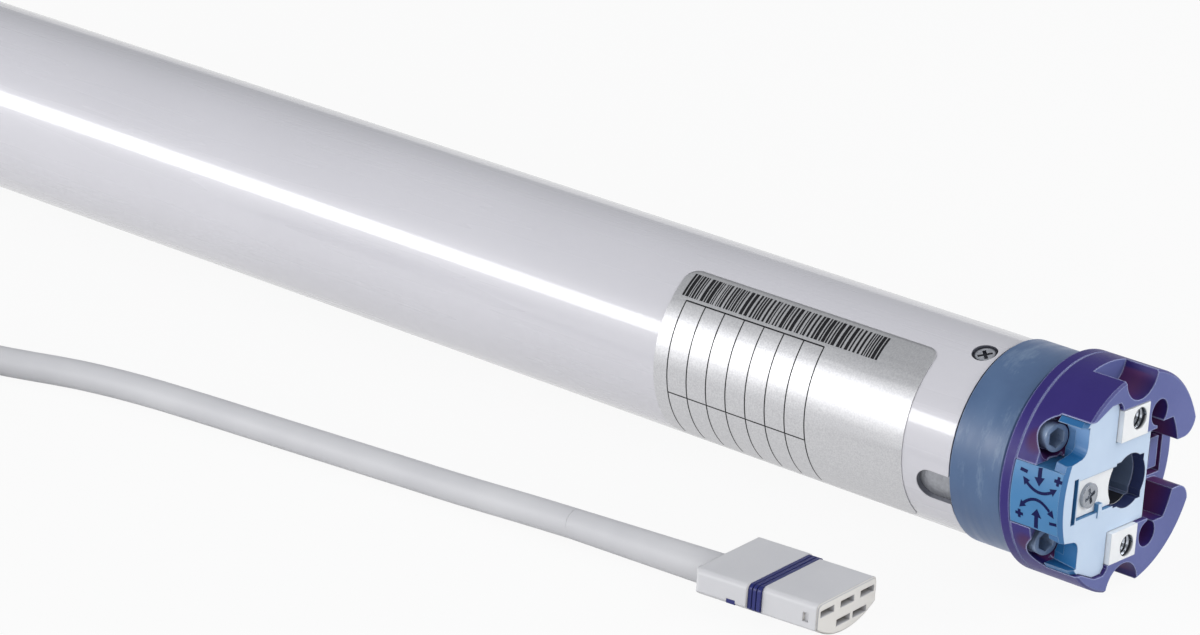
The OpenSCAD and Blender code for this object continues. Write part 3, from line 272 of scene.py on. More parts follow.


# The tube screws, in metres and degrees: places along the tube and angle round it, where the painted shade
# round the head's rim begins and ends, and how far from the axis the painted shade in its cross reaches
TUBE_SCREWS = dict(x=(-0.03615, -0.41835), angle=110.0, rim=(0.00205, 0.00235), cross=(0.0218, 0.02165))


def tube_screw_steel():
    """Steel heads, with painted shade at the rim and in the cross."""
    m = Mat("tube_screw_steel")
    x, y, z = m.split(m.place)
    turn = math.radians(TUBE_SCREWS["angle"])
    height = m.size(m.along(y, z, turn))
    across = m.along(y, z, turn - math.pi / 2)
    off = m.calc("MINIMUM", *(m.size(m.minus(x, at)) for at in TUBE_SCREWS["x"]))
    # Masks for the painted shade round the rim and in the cross recess
    rim = m.span(m.far((across, 0.0), (off, 0.0)), *TUBE_SCREWS["rim"])
    cross = m.span(height, *TUBE_SCREWS["cross"])
    fine = m.noise(1200.0, 3.0, 0.6)
    tint = m.mix(m.vary(fine), rgb(168, 170, 178), rgb(196, 198, 204))
    # Painted shade in the countersink round the rim and in the cross recess
    tint = m.mix(m.calc("MAXIMUM", rim, cross), tint, rgb(46, 48, 58))
    return m.done(Base_Color=tint, Metallic=0.6, Roughness=m.vary(fine, 0.22, 0.32),
                  Normal=m.bump(fine, 0.4, 0.00004, 0.0002))


def ring_plastic():
    """Blue-grey ring with marks from turning, and pale scuffs that are partly real wear and partly painted
    highlight smears.
    """
    m = Mat("ring_plastic")
    broad = m.noise(60.0, 4.0, 0.6)
    fine = m.noise(1500.0)
    turned = m.noise(700.0, 3.0, 0.6, m.stretch((1, 0.05, 0.05)))
    # Pale scuffs, partly real wear and partly painted highlight smears
    scuff_and_highlight = m.span(m.noise(200.0, 6.0, 0.72, m.stretch((1, 0.3, 0.3))), 0.56, 0.7, 0.0, 0.5)
    base = m.mix(m.vary(broad), rgb(70, 94, 130), rgb(80, 106, 142))
    tint = m.mix(scuff_and_highlight, base, rgb(128, 148, 172))
    return m.done(Base_Color=tint, Roughness=m.vary(turned, 0.34, 0.5),
                  Sheen_Weight=0.3, Sheen_Roughness=0.35, Sheen_Tint=rgb(190, 196, 225),
                  Normal=m.bump(m.plus(m.times(fine, 0.5), turned), 0.2, 0.00002, 0.00025))


# The head, in metres: where the painted shade tint of its inner walls grows along x, where its outer wall
# ends, and a setting screw's place and the reach of the painted shade round it
HEAD = dict(front=-0.0005, deep=-0.0075, wall=(0.0236, 0.023), screw=(-0.011, -0.019, 0.0102),
            screw_shade_reach=(0.0046, 0.0037))


def head_plastic():
    """Purple moulding: painted lit front, inner walls painted wine red for the tinted shade in the hollows,
    painted shade beside the setting screws, painted highlight on the edges.
    """
    m = Mat("head_plastic")
    x, y, z = m.split(m.place)
    # Painted light: faces turned to the front take a paler, lit copy of the purple
    lit_face = m.span(m.split(m.normal())[0], 0.55, 0.95)
    deep = m.span(x, HEAD["front"], HEAD["deep"])
    inside = m.span(m.off_axis(), *HEAD["wall"])
    # Painted shade tint: the deep inner walls in a brighter wine red that stands for the tinted shade in the
    # hollows
    walls = m.times(m.times(inside, m.minus(1.0, lit_face)), m.span(deep, 0.0, 0.6))
    # Painted shade: dark maroon round the setting screws
    screw_shade = m.span(m.far(*zip((x, y, m.size(z)), HEAD["screw"])), *HEAD["screw_shade_reach"])
    bore = m.span(m.off_axis(), BORE_R + BLEND, BORE_R)
    broad = m.noise(70.0, 3.0, 0.55)
    fine = m.noise(1300.0, 2.0, 0.55)
    side = m.mix(m.vary(broad), rgb(46, 36, 106), rgb(52, 42, 114))
    front = m.mix(m.vary(broad), rgb(90, 98, 154), rgb(99, 107, 162))
    tint = m.mix(walls, m.mix(lit_face, side, front), rgb(92, 50, 104))
    tint = m.mix(screw_shade, tint, rgb(64, 28, 82))
    tint = m.mix(bore, tint, rgb(104, 120, 148))
    # Painted highlight along the sharp edges
    tint = m.mix(m.edge(0.0006, 0.85), tint, rgb(180, 189, 228))
    return m.done(Base_Color=tint, Roughness=m.span(fine, 0.25, 0.75, 0.4, 0.52), Specular_IOR_Level=0.25,
                  Sheen_Weight=0.1, Sheen_Roughness=0.35, Sheen_Tint=rgb(150, 160, 220),
                  Normal=m.bump(fine, 0.14, 0.00002, 0.0003))


# The insert, in metres: where its painted lit faceplate begins along x, and its side panel's edge and
# the painted lit upper ledge along z
INSERT = dict(plate=(-0.0018, -0.0014), panel=(0.00702, 0.0072), lit_ledge=(0.007, 0.0155),
              lit_ledge_end=(0.0155, 0.016))


def insert_plastic():
    """One blue plastic in painted lit and shaded copies: lit pale faceplate and upper ledge, shaded blue side
    panel and chamfer strip, teal pockets in painted shade, painted shade in the bore and painted highlights
    on the edges.
    """
    m = Mat("insert_plastic")
    x, _, z = m.split(m.place)
    normal_x, normal_y, _ = m.split(m.normal())
    # Painted light: the faceplate's front faces take the pale, lit copy of the blue
    lit_face = m.span(normal_x, 0.8, 0.97)
    front = m.times(lit_face, m.span(x, *INSERT["plate"]))
    pocket = m.span(m.size(z), *INSERT["panel"])
    rise = m.times(m.span(z, *INSERT["lit_ledge"]), m.span(z, *INSERT["lit_ledge_end"], 1.0, 0.0))
    # Painted light on the upper ledge that faces the side
    lit_ledge = m.times(m.span(normal_y, -0.4, -0.8), rise)
    # Painted shade on the chamfer strip between faceplate and side panel
    strip = m.times(m.span(normal_x, 0.35, 0.55), m.span(normal_y, -0.2, -0.5))
    # Painted shade on the wall of the centre bore
    bore = m.times(m.span(m.off_axis(), BORE_R, BORE_R - BLEND), m.minus(1.0, lit_face))
    broad = m.vary(m.noise(80.0, 3.0, 0.55))
    fine = m.noise(1200.0, 2.0, 0.55)
    # Lit, shaded and deeply shaded copies of one blue
    lit_pale = m.mix(broad, rgb(194, 213, 236), rgb(203, 221, 242))
    panel = m.mix(broad, rgb(61, 119, 168), rgb(69, 127, 177))
    shaded_teal = m.mix(broad, rgb(26, 92, 146), rgb(34, 102, 156))
    tint = m.mix(pocket, panel, m.mix(lit_ledge, shaded_teal, rgb(118, 156, 202)))
    tint = m.mix(strip, tint, rgb(58, 112, 164))
    tint = m.mix(front, m.mix(bore, tint, rgb(50, 60, 104)), lit_pale)
    # Painted highlight along the sharp edges
    tint = m.mix(m.edge(0.0003, 0.55), tint, rgb(206, 222, 240))
    return m.done(Base_Color=tint, Roughness=m.span(fine, 0.25, 0.75, 0.36, 0.5), Specular_IOR_Level=0.45,
                  Normal=m.bump(fine, 0.12, 0.00002, 0.0003))


# The two bracket threads, in millimetres: height off the axis, radius, pitch, start and length, and the
# ridge's height and half width. A turn has 20 parts, and the ridge fades over 10 of them at its ends.
THREAD = dict(z=14.6, r=2.5, pitch=1.0, start=0.6, length=11.4, ridge=0.34, half=0.399, parts=20, fade=10)


def frame_metal():
    """Pale cast metal, with painted shade in the bracket threads and on the bore's wall."""
    m = Mat("frame_metal")
    x, y, z = m.split(m.place)
    off_thread = m.far((y, 0.0), (m.size(z), THREAD["z"] * MM))
    hole_shade = m.span(off_thread, THREAD["r"] * MM + 0.3 * BLEND, THREAD["r"] * MM)
    hole_shade = m.times(hole_shade, m.span(x, -0.5 * BLEND, -THREAD["start"] * MM))
    bore = m.times(m.span(m.off_axis(), BORE_R, BORE_R - BLEND), m.span(m.split(m.normal())[0], 0.8, 0.5))
    grain = m.noise(900.0, 4.0, 0.65, m.stretch((1, 0.25, 1)))
    cast = m.noise(160.0, 3.0, 0.6)
    tint = m.mix(m.vary(cast), rgb(238, 240, 242), rgb(247, 249, 250))
    # Painted shade in the threaded holes and on the bore's wall
    tint = m.mix(m.calc("MAXIMUM", hole_shade, bore), tint, rgb(52, 54, 60))
    return m.done(Base_Color=tint, Metallic=0.1, Roughness=m.vary(grain, 0.3, 0.44),
                  Normal=m.bump(grain, 0.15, 0.00002, 0.0002))


def adjuster_plastic():
    m = Mat("adjuster_plastic")
    broad = m.noise(300.0, 3.0, 0.6)
    fine = m.noise(1500.0)
    tint = m.mix(m.vary(broad), rgb(124, 144, 174), rgb(140, 160, 188))
    return m.done(Base_Color=tint, Roughness=m.vary(fine, 0.26, 0.36), IOR=1.46, Coat_Weight=0.3,
                  Coat_Roughness=0.1, Normal=m.bump(fine, 0.05, 0.00001, 0.0004))


def label_film():
    """Silver film, brushed along the tube and finely speckled."""
    m = Mat("label_film")
    speck = m.noise(2600.0, 2.0, 0.6)
    drawn = m.noise(900.0, 3.0, 0.6, m.stretch((0.05, 1, 1)))
    tint = m.mix(m.span(speck, 0.35, 0.65), rgb(190, 190, 193), rgb(206, 206, 208))
    return m.done(Base_Color=tint, Metallic=0.7, Roughness=m.vary(drawn, 0.36, 0.46),
                  Normal=m.bump(speck, 0.06, 0.00001))


def lamination(name, colour, pitch):
    """Sheets or windings side by side along the tube, one for each pitch."""
    m = Mat(name)
    wave = m.calc("SINE", m.times(m.split(m.place)[0], 2 * math.pi / pitch))
    fine = m.noise(900.0, 3.0, 0.6)
    tint = m.mix(m.span(m.plus(wave, fine), -0.6, 1.6), shade(colour, 0.7), shade(colour, 1.15))
    return m.done(Base_Color=tint, Metallic=0.8, Roughness=m.vary(fine, 0.38, 0.52),
                  Normal=m.bump(wave, 0.3, 0.00008))


def cable_sheath():
    m = Mat("cable_sheath")
    broad = m.noise(40.0, 3.0, 0.6)
    fine = m.noise(1800.0, 3.0, 0.6)
    tint = m.mix(m.vary(broad), rgb(192, 192, 196), rgb(202, 202, 205))
    return m.done(Base_Color=tint, Roughness=m.vary(fine, 0.46, 0.6), Specular_IOR_Level=0.4,
                  Sheen_Weight=0.05, Normal=m.bump(fine, 0.2, 0.00002))


# The plug's frame: its rear face, the way it points and its length, in millimetres and degrees
PLUG = dict(x=-56.15, y=-66.51, heading=5.0, length=30.2)
# Its slots, in metres: bottom, middle and top above the floor, half widths of the lower and upper row,
# and the depth over which their painted shade sets in
PLUG_SLOTS = dict(bottom=0.0018, middle=0.005, top=0.008, half_widths=(0.0083, 0.0105), slot_shade=(0.0002, 0.0025))


def plug_plastic():
    """Pale grey plug, with painted light on the front and painted shade inside its slots."""
    m = Mat("plug_plastic")
    x, y, z = m.split(m.place)
    turn = math.radians(PLUG["heading"])
    c, s = math.cos(turn), math.sin(turn)
    front = MM * (PLUG["x"] * c + PLUG["y"] * s + PLUG["length"])
    centre = MM * (PLUG["y"] * c - PLUG["x"] * s)
    depth = m.minus(front, m.along(x, y, turn))
    across = m.size(m.minus(m.along(y, x, -turn), centre))
    bottom, middle, top = (FLOOR + PLUG_SLOTS[k] for k in ("bottom", "middle", "top"))
    reach = m.span(z, middle, middle + 0.5 * BLEND, *PLUG_SLOTS["half_widths"])
    slots = m.times(m.calc("LESS_THAN", across, reach), m.calc("GREATER_THAN", z, bottom))
    slots = m.times(slots, m.calc("LESS_THAN", z, top))
    slot_shade = m.times(slots, m.span(depth, *PLUG_SLOTS["slot_shade"]))
    lit_facing = m.along(*m.split(m.normal())[:2], turn)
    broad = m.noise(55.0, 3.0, 0.55)
    fine = m.noise(1900.0, 3.0, 0.6)
    tint = m.mix(m.vary(broad), rgb(201, 201, 205), rgb(207, 207, 210))
    # Painted light: the front faces take a paler, warmer copy of the grey
    tint = m.mix(m.span(lit_facing, 0.8, 0.95), tint, rgb(226, 223, 218))
    # Painted shade deep inside the slots
    tint = m.mix(slot_shade, tint, rgb(44, 42, 42))
    return m.done(Base_Color=tint, Roughness=m.vary(fine, 0.38, 0.5),
                  Normal=m.bump(fine, 0.2, 0.00002, 0.0005))


def core_striped():
    """The earth core, in green and yellow bands."""
    m = Mat("core_striped")
    _, y, z = m.split(m.place)
    wave = m.calc("SINE", m.times(m.plus(y, m.times(z, 2.0)), 2600.0))
    fine = m.noise(1500.0)
    tint = m.mix(m.span(wave, -0.1, 0.1), rgb(66, 132, 58), rgb(208, 190, 52))
    return m.done(Base_Color=tint, Roughness=m.vary(fine, 0.3, 0.42), Normal=m.bump(fine, 0.15, 0.00002))


# The plainer materials, as options of surface
FINISHES = {
    "screw_chrome": dict(colour=rgb(158, 163, 171), rough=0.18, drift=0.25, grain=1100, relief=0.00006,
                         metal=1.0, strength=0.7),
    "screw_steel": dict(colour=rgb(190, 191, 196), rough=0.32, drift=0.08, grain=1200, metal=0.85,
                        pull=(1, 1, 0.2)),
    "retainer_metal": dict(colour=rgb(168, 170, 176), rough=0.42, drift=0.3, grain=1100, relief=0.00012,
                           metal=0.6, strength=0.9),
    "gear_plastic": dict(colour=rgb(230, 225, 206), rough=0.5, drift=0.04, grain=1100),
    "spindle_steel": dict(colour=rgb(188, 191, 196), rough=0.3, drift=0.08, grain=1500, metal=0.9,
                          pull=(4, 1, 1)),
    "nut_brass": dict(colour=rgb(204, 160, 78), rough=0.32, drift=0.07, grain=1100, metal=0.9),
    "switch_plastic": dict(colour=rgb(44, 44, 49), rough=0.55, drift=0.12, grain=1000),
    "contact_brass": dict(colour=rgb(210, 178, 98), rough=0.3, drift=0.07, grain=1200, metal=0.9),
    "capacitor_plastic": dict(colour=rgb(218, 218, 218), rough=0.4, drift=0.03, grain=800),
    "shield_metal": dict(colour=rgb(168, 170, 176), rough=0.5, drift=0.1, grain=600, relief=0.00005,
                         metal=0.75, strength=0.5),
    "bearing_steel": dict(colour=rgb(200, 202, 205), rough=0.22, drift=0.05, grain=1500, metal=0.95),
    "brake_lining": dict(colour=rgb(88, 73, 64), rough=0.8, drift=0.22, grain=900, relief=0.00008,
                         strength=0.6),
    "brake_steel": dict(colour=rgb(114, 117, 121), rough=0.4, drift=0.1, grain=900, metal=0.85),
    "gear_steel": dict(colour=rgb(142, 144, 149), rough=0.42, drift=0.1, grain=1100, relief=0.00004,
                       metal=0.85, strength=0.4),
    "bush_bronze": dict(colour=rgb(176, 141, 88), rough=0.45, drift=0.1, grain=1300, relief=0.00004,
                        metal=0.85, strength=0.4),
    "seal_rubber": dict(colour=rgb(18, 28, 100), rough=0.42, drift=0.1, grain=1500, relief=0.00003),
    "tie_plastic": dict(colour=rgb(40, 40, 43), rough=0.5, drift=0.1, grain=1200, relief=0.00004),
    "ferrule_tin": dict(colour=rgb(205, 205, 210), rough=0.35, drift=0.06, grain=1500, metal=0.9,
                        bevel=0.0001),
    "core_brown": dict(colour=rgb(112, 68, 34), rough=0.36, drift=0.06, grain=1500, bevel=0),
    "core_black": dict(colour=rgb(38, 38, 40), rough=0.36, drift=0.08, grain=1500, bevel=0),
    "core_blue": dict(colour=rgb(42, 82, 176), rough=0.36, drift=0.05, grain=1500, bevel=0),
    "mark_ink": dict(colour=rgb(8, 16, 72), rough=0.6, drift=0.12, grain=1500, relief=0.00001, bevel=0,
                     spec=0.15),
    "print_ink": dict(colour=rgb(18, 18, 22), rough=0.5, drift=0.2, grain=2200, relief=0.00001, bevel=0,
                      spec=0.3),
}
MAKERS = (tube_metal, tube_screw_steel, ring_plastic, head_plastic, insert_plastic, frame_metal,
          adjuster_plastic, label_film, cable_sheath, plug_plastic, core_striped)
MATERIALS = {make.__name__: make() for make in MAKERS}
MATERIALS.update({name: surface(name, **finish) for name, finish in FINISHES.items()})
MATERIALS["core_steel"] = lamination("core_steel", rgb(124, 127, 133), pitch=0.001)
MATERIALS["winding_copper"] = lamination("winding_copper", rgb(178, 98, 46), pitch=0.0012)
MATERIALS["core_insulation"] = MATERIALS["core_brown"]

# The nodes of the model that have each material
SLOTS = {
    "tube_metal": ["motor_tube"],
    "tube_screw_steel": ["tube_screws"],
    "screw_steel": ["output_shaft", "rotor_shaft", "retaining_clip"],
    "screw_chrome": ["frame_screw"],
    "head_plastic": ["head_housing"],
    "insert_plastic": ["head_insert"],
    "frame_metal": ["mount_frame"],
    "adjuster_plastic": ["limit_adjuster_upper", "limit_adjuster_lower"],
    "ring_plastic": ["limit_ring"],
    "retainer_metal": ["ring_retainer", "gearbox_flange"],
    "gear_plastic": ["limit_pinion", "switch_chassis"],
    "spindle_steel": ["limit_spindle_upper", "limit_spindle_lower", "brake_spring"],
    "nut_brass": ["limit_nut_upper", "limit_nut_lower"],
    "switch_plastic": ["microswitch_upper", "microswitch_lower", "plug_socket", "capacitor_sleeve",
                       "tube_end_cap"],
    "contact_brass": ["socket_pins", "plug_contacts"],
    "capacitor_plastic": ["capacitor"],
    "shield_metal": ["front_shield", "rear_shield"],
    "bearing_steel": ["shaft_bearings"],
    "core_steel": ["stator_core", "rotor_core"],
    "winding_copper": ["stator_windings"],
    "brake_lining": ["brake_disc"],
    "brake_steel": ["brake_armature", "brake_magnet"],
    "gear_steel": ["ring_gear", "motor_pinion", "carrier_one", "carrier_two", "planet_one_a", "planet_one_b",
                   "planet_one_c", "planet_two_a", "planet_two_b", "planet_two_c"],
    "bush_bronze": ["output_bush"],
    "plug_plastic": ["plug_body"],
    "seal_rubber": ["plug_seal"],
    "tie_plastic": ["cable_tie"],
    "ferrule_tin": ["core_ferrules"],
    "label_film": ["rating_label"],
    "cable_sheath": ["cable", "cable_coil", "cable_boot"],
    "core_insulation": ["core_wires"],
}
for slot_name, members in SLOTS.items():
    for n in members:
        nodes[n].data.materials.clear()
        nodes[n].data.materials.append(MATERIALS[slot_name])


# The mains lead: the same route as the model's own, from the boot along the floor and into its coil.
# The radius is in metres, the route in millimetres and degrees.
LEAD_R = 0.0034
LEAD = [
    (-96, -70, -20.9), (-108, -71, -21.15), (-126, -73, -21.45), (-144, -75, -21.45),
    (-162, -77, -21.45), (-180, -79, -21.45), (-198, -81, -21.45), (-216, -83.5, -21.45),
    (-232, -87.5, -21.45), (-248, -94, -21.45), (-264, -99, -21.45), (-281, -102, -21.05),
]
LEAD_PARTS = 3
LEAD_SIDES = 12
# The coil winds inwards on the floor, climbs over the given angle and winds outwards on top of itself
COIL = dict(x=-300.0, y=-161.0, low=-20.65, rise=7.3, climb=180.0, step=7.4, inner=22.7, angle=100.0,
            inward=1620.0, outward=1080.0, lead_in=6.8, part=5)
# The bare cores at the lead's far end: radius in metres, distance off the lead's middle in millimetres,
# and the angles that they sweep and leave free at the sheath's end
CORE_R = 0.0011
CORES = dict(names=("core_brown", "core_black", "core_blue", "core_striped"), spread=1.15, sweep=40.3,
             gap=0.02, parts=14, sides=6)


def coil_point(t, out=0.0, up=0.0):
    """A place on the coil, t degrees past its innermost one."""
    a = math.radians(COIL["angle"] + COIL["inward"] + t)
    r = COIL["inner"] + COIL["step"] * abs(t) / 360 + out
    z = COIL["low"] + COIL["rise"] * min(1.0, max(0.0, t / COIL["climb"] + 0.5)) + up
    return (COIL["x"] + r * math.cos(a), COIL["y"] + r * math.sin(a), z)


def coil_entry():
    """The last place before the coil, straight behind its start."""
    x, y, z = coil_point(-COIL["inward"])
    a = math.radians(COIL["angle"])
    return (x + COIL["lead_in"] * math.sin(a), y - COIL["lead_in"] * math.cos(a), z)


def catmull(points, parts):
    """A smooth line through the points, with parts steps between two of them."""
    p = [Vector(q) for q in points]
    p = [2 * p[0] - p[1]] + p + [2 * p[-1] - p[-2]]
    out = []
    for a, b, c, d in zip(p, p[1:], p[2:], p[3:]):
        for k in range(parts):
            t = k / parts
            bend = (2 * a - 5 * b + 4 * c - d) * t ** 2 + (3 * b - a - 3 * c + d) * t ** 3
            out.append(0.5 * (2 * b + (c - a) * t + bend))
    out.append(p[-2])
    return out


def curve_piece(name, points, radius, material, sides):
    data = bpy.data.curves.new(name, "CURVE")
    data.dimensions = "3D"
    data.bevel_depth = radius
    data.bevel_resolution = sides
    data.use_fill_caps = True
    line = data.splines.new("POLY")
    line.points.add(len(points) - 1)
    for target, point in zip(line.points, points):
        target.co = tuple(c * MM for c in point) + (1.0,)
    line.use_smooth = True
    data.materials.append(material)
    o = add_object(name, data)
    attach(o, BODY)
    return o


lead_points = catmull(LEAD + [coil_entry(), coil_point(-COIL["inward"])], LEAD_PARTS)
coil_parts = int((COIL["inward"] + COIL["outward"]) / COIL["part"])
for i in range(1, coil_parts + 1):
    lead_points.append(Vector(coil_point(-COIL["inward"] + COIL["part"] * i)))
lead = curve_piece("mains_lead", lead_points, LEAD_R, MATERIALS["cable_sheath"], LEAD_SIDES)
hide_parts("cable", "cable_coil")


def core_path(k):
    """The line of one core; the four lie in a square."""
    across = CORES["spread"] if k % 2 == 0 else -CORES["spread"]
    above = CORES["spread"] if k < 2 else -CORES["spread"]
    start = COIL["outward"] + CORES["gap"]
    steps = [CORES["sweep"] * i / CORES["parts"] for i in range(CORES["parts"] + 1)]
    return [coil_point(start + step, across, above) for step in steps]


for k, core_name in enumerate(CORES["names"]):
    path = core_path(k)
    core = curve_piece(core_name, path, CORE_R, MATERIALS[core_name], CORES["sides"])
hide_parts("core_wires")


def mesh_piece(name, verts, faces, material):
    """A mesh on the motor's body, from places in millimetres."""
    data = bpy.data.meshes.new(name)
    data.from_pydata([tuple(c * MM for c in v) for v in verts], [], faces)
    data.validate()
    data.update()
    data.materials.append(material)
    o = add_object(name, data)
    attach(o, BODY)
    return o


def on_tube(x, angle, r):
    a = math.radians(angle)
    return (x, r * math.cos(a), r * math.sin(a))


# The label, with round corners: its ends along x, its edges round the tube and its two faces,
# in millimetres and degrees
LABEL = dict(x0=-115.05, x1=-45.05, a0=119.5, a1=234.5, r0=22.52, r1=22.67, corner=3.2)
LABEL_PARTS = dict(corner=8, length=12, round=64)
# Faces whose normal points less than this along the tube are smooth
LABEL_SMOOTH = 0.3


def label_columns():
    """The places along x where the label's mesh has a column, closer together at the corners."""
    corner, parts = LABEL["corner"], LABEL_PARTS["corner"]
    straight = LABEL["x1"] - LABEL["x0"] - 2 * corner
    steps = [corner * (1 - math.cos(math.pi / 2 * i / parts)) for i in range(parts + 1)]
    parts = LABEL_PARTS["length"]
    xs = [LABEL["x0"] + step for step in steps]
    xs += [LABEL["x0"] + corner + straight * i / parts for i in range(1, parts)]
    return xs + [LABEL["x1"] - step for step in reversed(steps)]


def make_label():
    corner = LABEL["corner"]
    degrees = math.degrees(1 / LABEL["r1"])
    xs = label_columns()
    rows = LABEL_PARTS["round"]
    verts, faces = [], []
    for r in (LABEL["r1"], LABEL["r0"]):
        for x in xs:
            near = min(x - LABEL["x0"], LABEL["x1"] - x, corner)
            cut = corner - math.sqrt(max(0.0, corner ** 2 - (corner - near) ** 2))
            a0, a1 = LABEL["a0"] + cut * degrees, LABEL["a1"] - cut * degrees
            verts += [on_tube(x, a0 + (a1 - a0) * k / rows, r) for k in range(rows + 1)]
    n = rows + 1
    layer = len(xs) * n
    for i in range(len(xs) - 1):
        for k in range(rows):
            a, b, c, d = i * n + k, i * n + k + 1, (i + 1) * n + k + 1, (i + 1) * n + k
            faces.append((a, b, c, d))
            faces.append((d + layer, c + layer, b + layer, a + layer))
    rim = [i * n for i in range(len(xs))] + [(len(xs) - 1) * n + k for k in range(1, n)]
    rim += [i * n + rows for i in range(len(xs) - 2, -1, -1)] + list(range(rows - 1, 0, -1))
    for a, b in zip(rim, rim[1:] + rim[:1]):
        faces.append((a, b, b + layer, a + layer))
    o = mesh_piece("label_film", verts, faces, MATERIALS["label_film"])
    o.data.polygons.foreach_set("use_smooth", [abs(p.normal.x) < LABEL_SMOOTH for p in o.data.polygons])
    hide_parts("rating_label")


# The label's print, which has no words: a row of bars and a ruled table, in millimetres and degrees
INK_LIFT = 0.012
PATCH_STEP = 2
BARS = dict(x0=-113.0, x1=-57.8, a0=122.5, a1=138.0, widths=(0.3, 0.45, 0.6, 0.9),
            gaps=(0.25, 0.25, 0.4, 0.6), seed=7)
TABLE = dict(x=-111.1, pitch=5.6, lines=8, half=0.16, a0=140.2, a1=231.0,
             rows=((139.9, 140.8), (195.8, 196.6)))


def patch(verts, faces, x0, x1, a0, a1):
    """A thin printed strip on the label."""
    n = max(1, int(abs(a1 - a0) / PATCH_STEP))
    base = len(verts)
    for k in range(n + 1):
        a = a0 + (a1 - a0) * k / n
        verts.extend(on_tube(x, a, LABEL["r1"] + INK_LIFT) for x in (x0, x1))
    for k in range(n):
        i = base + 2 * k
        faces.append((i, i + 2, i + 3, i + 1))


def make_print():
    rng = random.Random(BARS["seed"])
    verts, faces = [], []
    x = BARS["x0"]
    while x < BARS["x1"]:
        width = rng.choice(BARS["widths"])
        patch(verts, faces, x, x + width, BARS["a0"], BARS["a1"])
        x += width + rng.choice(BARS["gaps"])
    lines = [TABLE["x"] + TABLE["pitch"] * k for k in range(TABLE["lines"])]
    for at in lines:
        patch(verts, faces, at - TABLE["half"], at + TABLE["half"], TABLE["a0"], TABLE["a1"])
    for a0, a1 in TABLE["rows"]:
        patch(verts, faces, lines[0], lines[-1], a0, a1)
    o = mesh_piece("label_ruling", verts, faces, MATERIALS["print_ink"])


make_label()
make_print()


# The thread's ridges in the two bracket holes
def make_thread(name, z):
    parts, pitch, fade = THREAD["parts"], THREAD["pitch"], THREAD["fade"]
    count = int(parts * THREAD["length"] / pitch)
    verts, faces = [], []
    for i in range(count + 1):
        a = 2 * math.pi * i / parts
        x = -THREAD["start"] - pitch * i / parts
        ridge = THREAD["ridge"] * min(1.0, i / fade, (count - i) / fade)
        for lower, side in ((0.0, 1), (ridge, 0), (0.0, -1)):
            r = THREAD["r"] - lower
            verts.append((x + side * THREAD["half"], r * math.cos(a), z + r * math.sin(a)))
    for i in range(count):
        for k in range(2):
            a = 3 * i + k
            faces.append((a, a + 1, a + 4, a + 3))
    o = mesh_piece(name, verts, faces, MATERIALS["screw_chrome"])


make_thread("bracket_thread_upper", THREAD["z"])
make_thread("bracket_thread_lower", -THREAD["z"])


def make_spring():
    source = nodes["brake_spring"]
    data = source.data.copy()
    data.transform(source.matrix_world)
    o = add_object("brake_cone_spring", data)
    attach(o, BODY)
    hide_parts("brake_spring")
    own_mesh(o)


make_spring()


# Marks on the insert's side panel, the two setting directions: sizes in millimetres.
# A tip is its length and width. An arrow's shaft stops short of the point, and an arc's stroke leaves
# out the parts that its tips hide.
PANEL_R = 24.75
MARK_LIFT = 0.035
SIGN = dict(half=1.0, width=0.72)
ARROW = dict(width=1.0, short=1.5, tip=(1.9, 2.7))
ARC = dict(parts=16, width=0.68, hidden=2, tip=(1.7, 1.8))


class Marks:
    """Flat shapes that follow the round panel, placed by x and z."""

    def __init__(self):
        self.verts = []
        self.faces = []

    def poly(self, *points):
        base = len(self.verts)
        radius = PANEL_R + MARK_LIFT
        self.verts.extend((x, -math.sqrt(radius ** 2 - z ** 2), z) for x, z in points)
        self.faces.append(tuple(range(base, base + len(points))))

    def bar(self, start, end, width):
        """A straight stroke, in pieces of about 1 mm so that it follows the panel."""
        a, b = Vector(start), Vector(end)
        way = b - a
        side = Vector((-way.y, way.x)).normalized() * width / 2
        n = max(1, round(way.length))
        for i in range(n):
            p, q = a + way * i / n, a + way * (i + 1) / n
            self.poly(p + side, p - side, q - side, q + side)

    def tip(self, point, way, length, width):
        """An arrow's tip that points the given way."""
        way = Vector(way).normalized()
        side = Vector((-way.y, way.x)) * width / 2
        foot = Vector(point) - way * length
        self.poly(Vector(point), foot + side, foot - side)

    def minus(self, start, end):
        self.bar(start, end, SIGN["width"])

    def plus(self, x, z):
        half, width = SIGN["half"], SIGN["width"]
        self.bar((x - half, z), (x + half, z), width)
        self.bar((x, z - half), (x, z - width / 2), width)
        self.bar((x, z + width / 2), (x, z + half), width)

    def arrow(self, start, end):
        a, b = Vector(start), Vector(end)
        way = b - a
        self.bar(a, b - way.normalized() * ARROW["short"], ARROW["width"])
        self.tip(b, way, *ARROW["tip"])

    def arc(self, start, bend, end):
        """A curved arrow with a tip at both ends."""
        a, b, c = Vector(start), Vector(bend), Vector(end)
        ways = [i / ARC["parts"] for i in range(ARC["parts"] + 1)]
        line = [(1 - t) ** 2 * a + 2 * t * (1 - t) * b + t ** 2 * c for t in ways]
        skip = ARC["hidden"]
        for p, q in zip(line[skip:-skip], line[skip + 1:-skip]):
            self.bar(p, q, ARC["width"])
        self.tip(a, a - line[skip], *ARC["tip"])
        self.tip(c, c - line[-1 - skip], *ARC["tip"])


def make_marks():
    marks = Marks()
    marks.minus((-12.9, 5.45), (-11.0, 5.25))
    marks.arrow((-8.1, 6.9), (-7.55, 3.0))
    marks.plus(-3.1, 5.3)
    marks.arc((-11.9, 4.1), (-7.3, -0.4), (-3.0, 3.6))
    marks.arc((-12.0, -2.9), (-7.9, 2.9), (-3.0, -3.0))
    marks.plus(-12.0, -4.4)
    marks.arrow((-7.75, -6.7), (-7.4, -2.0))
    marks.minus((-4.2, -4.45), (-2.3, -4.25))
    o = mesh_piece("panel_marks", marks.verts, marks.faces, MATERIALS["mark_ink"])


make_marks()


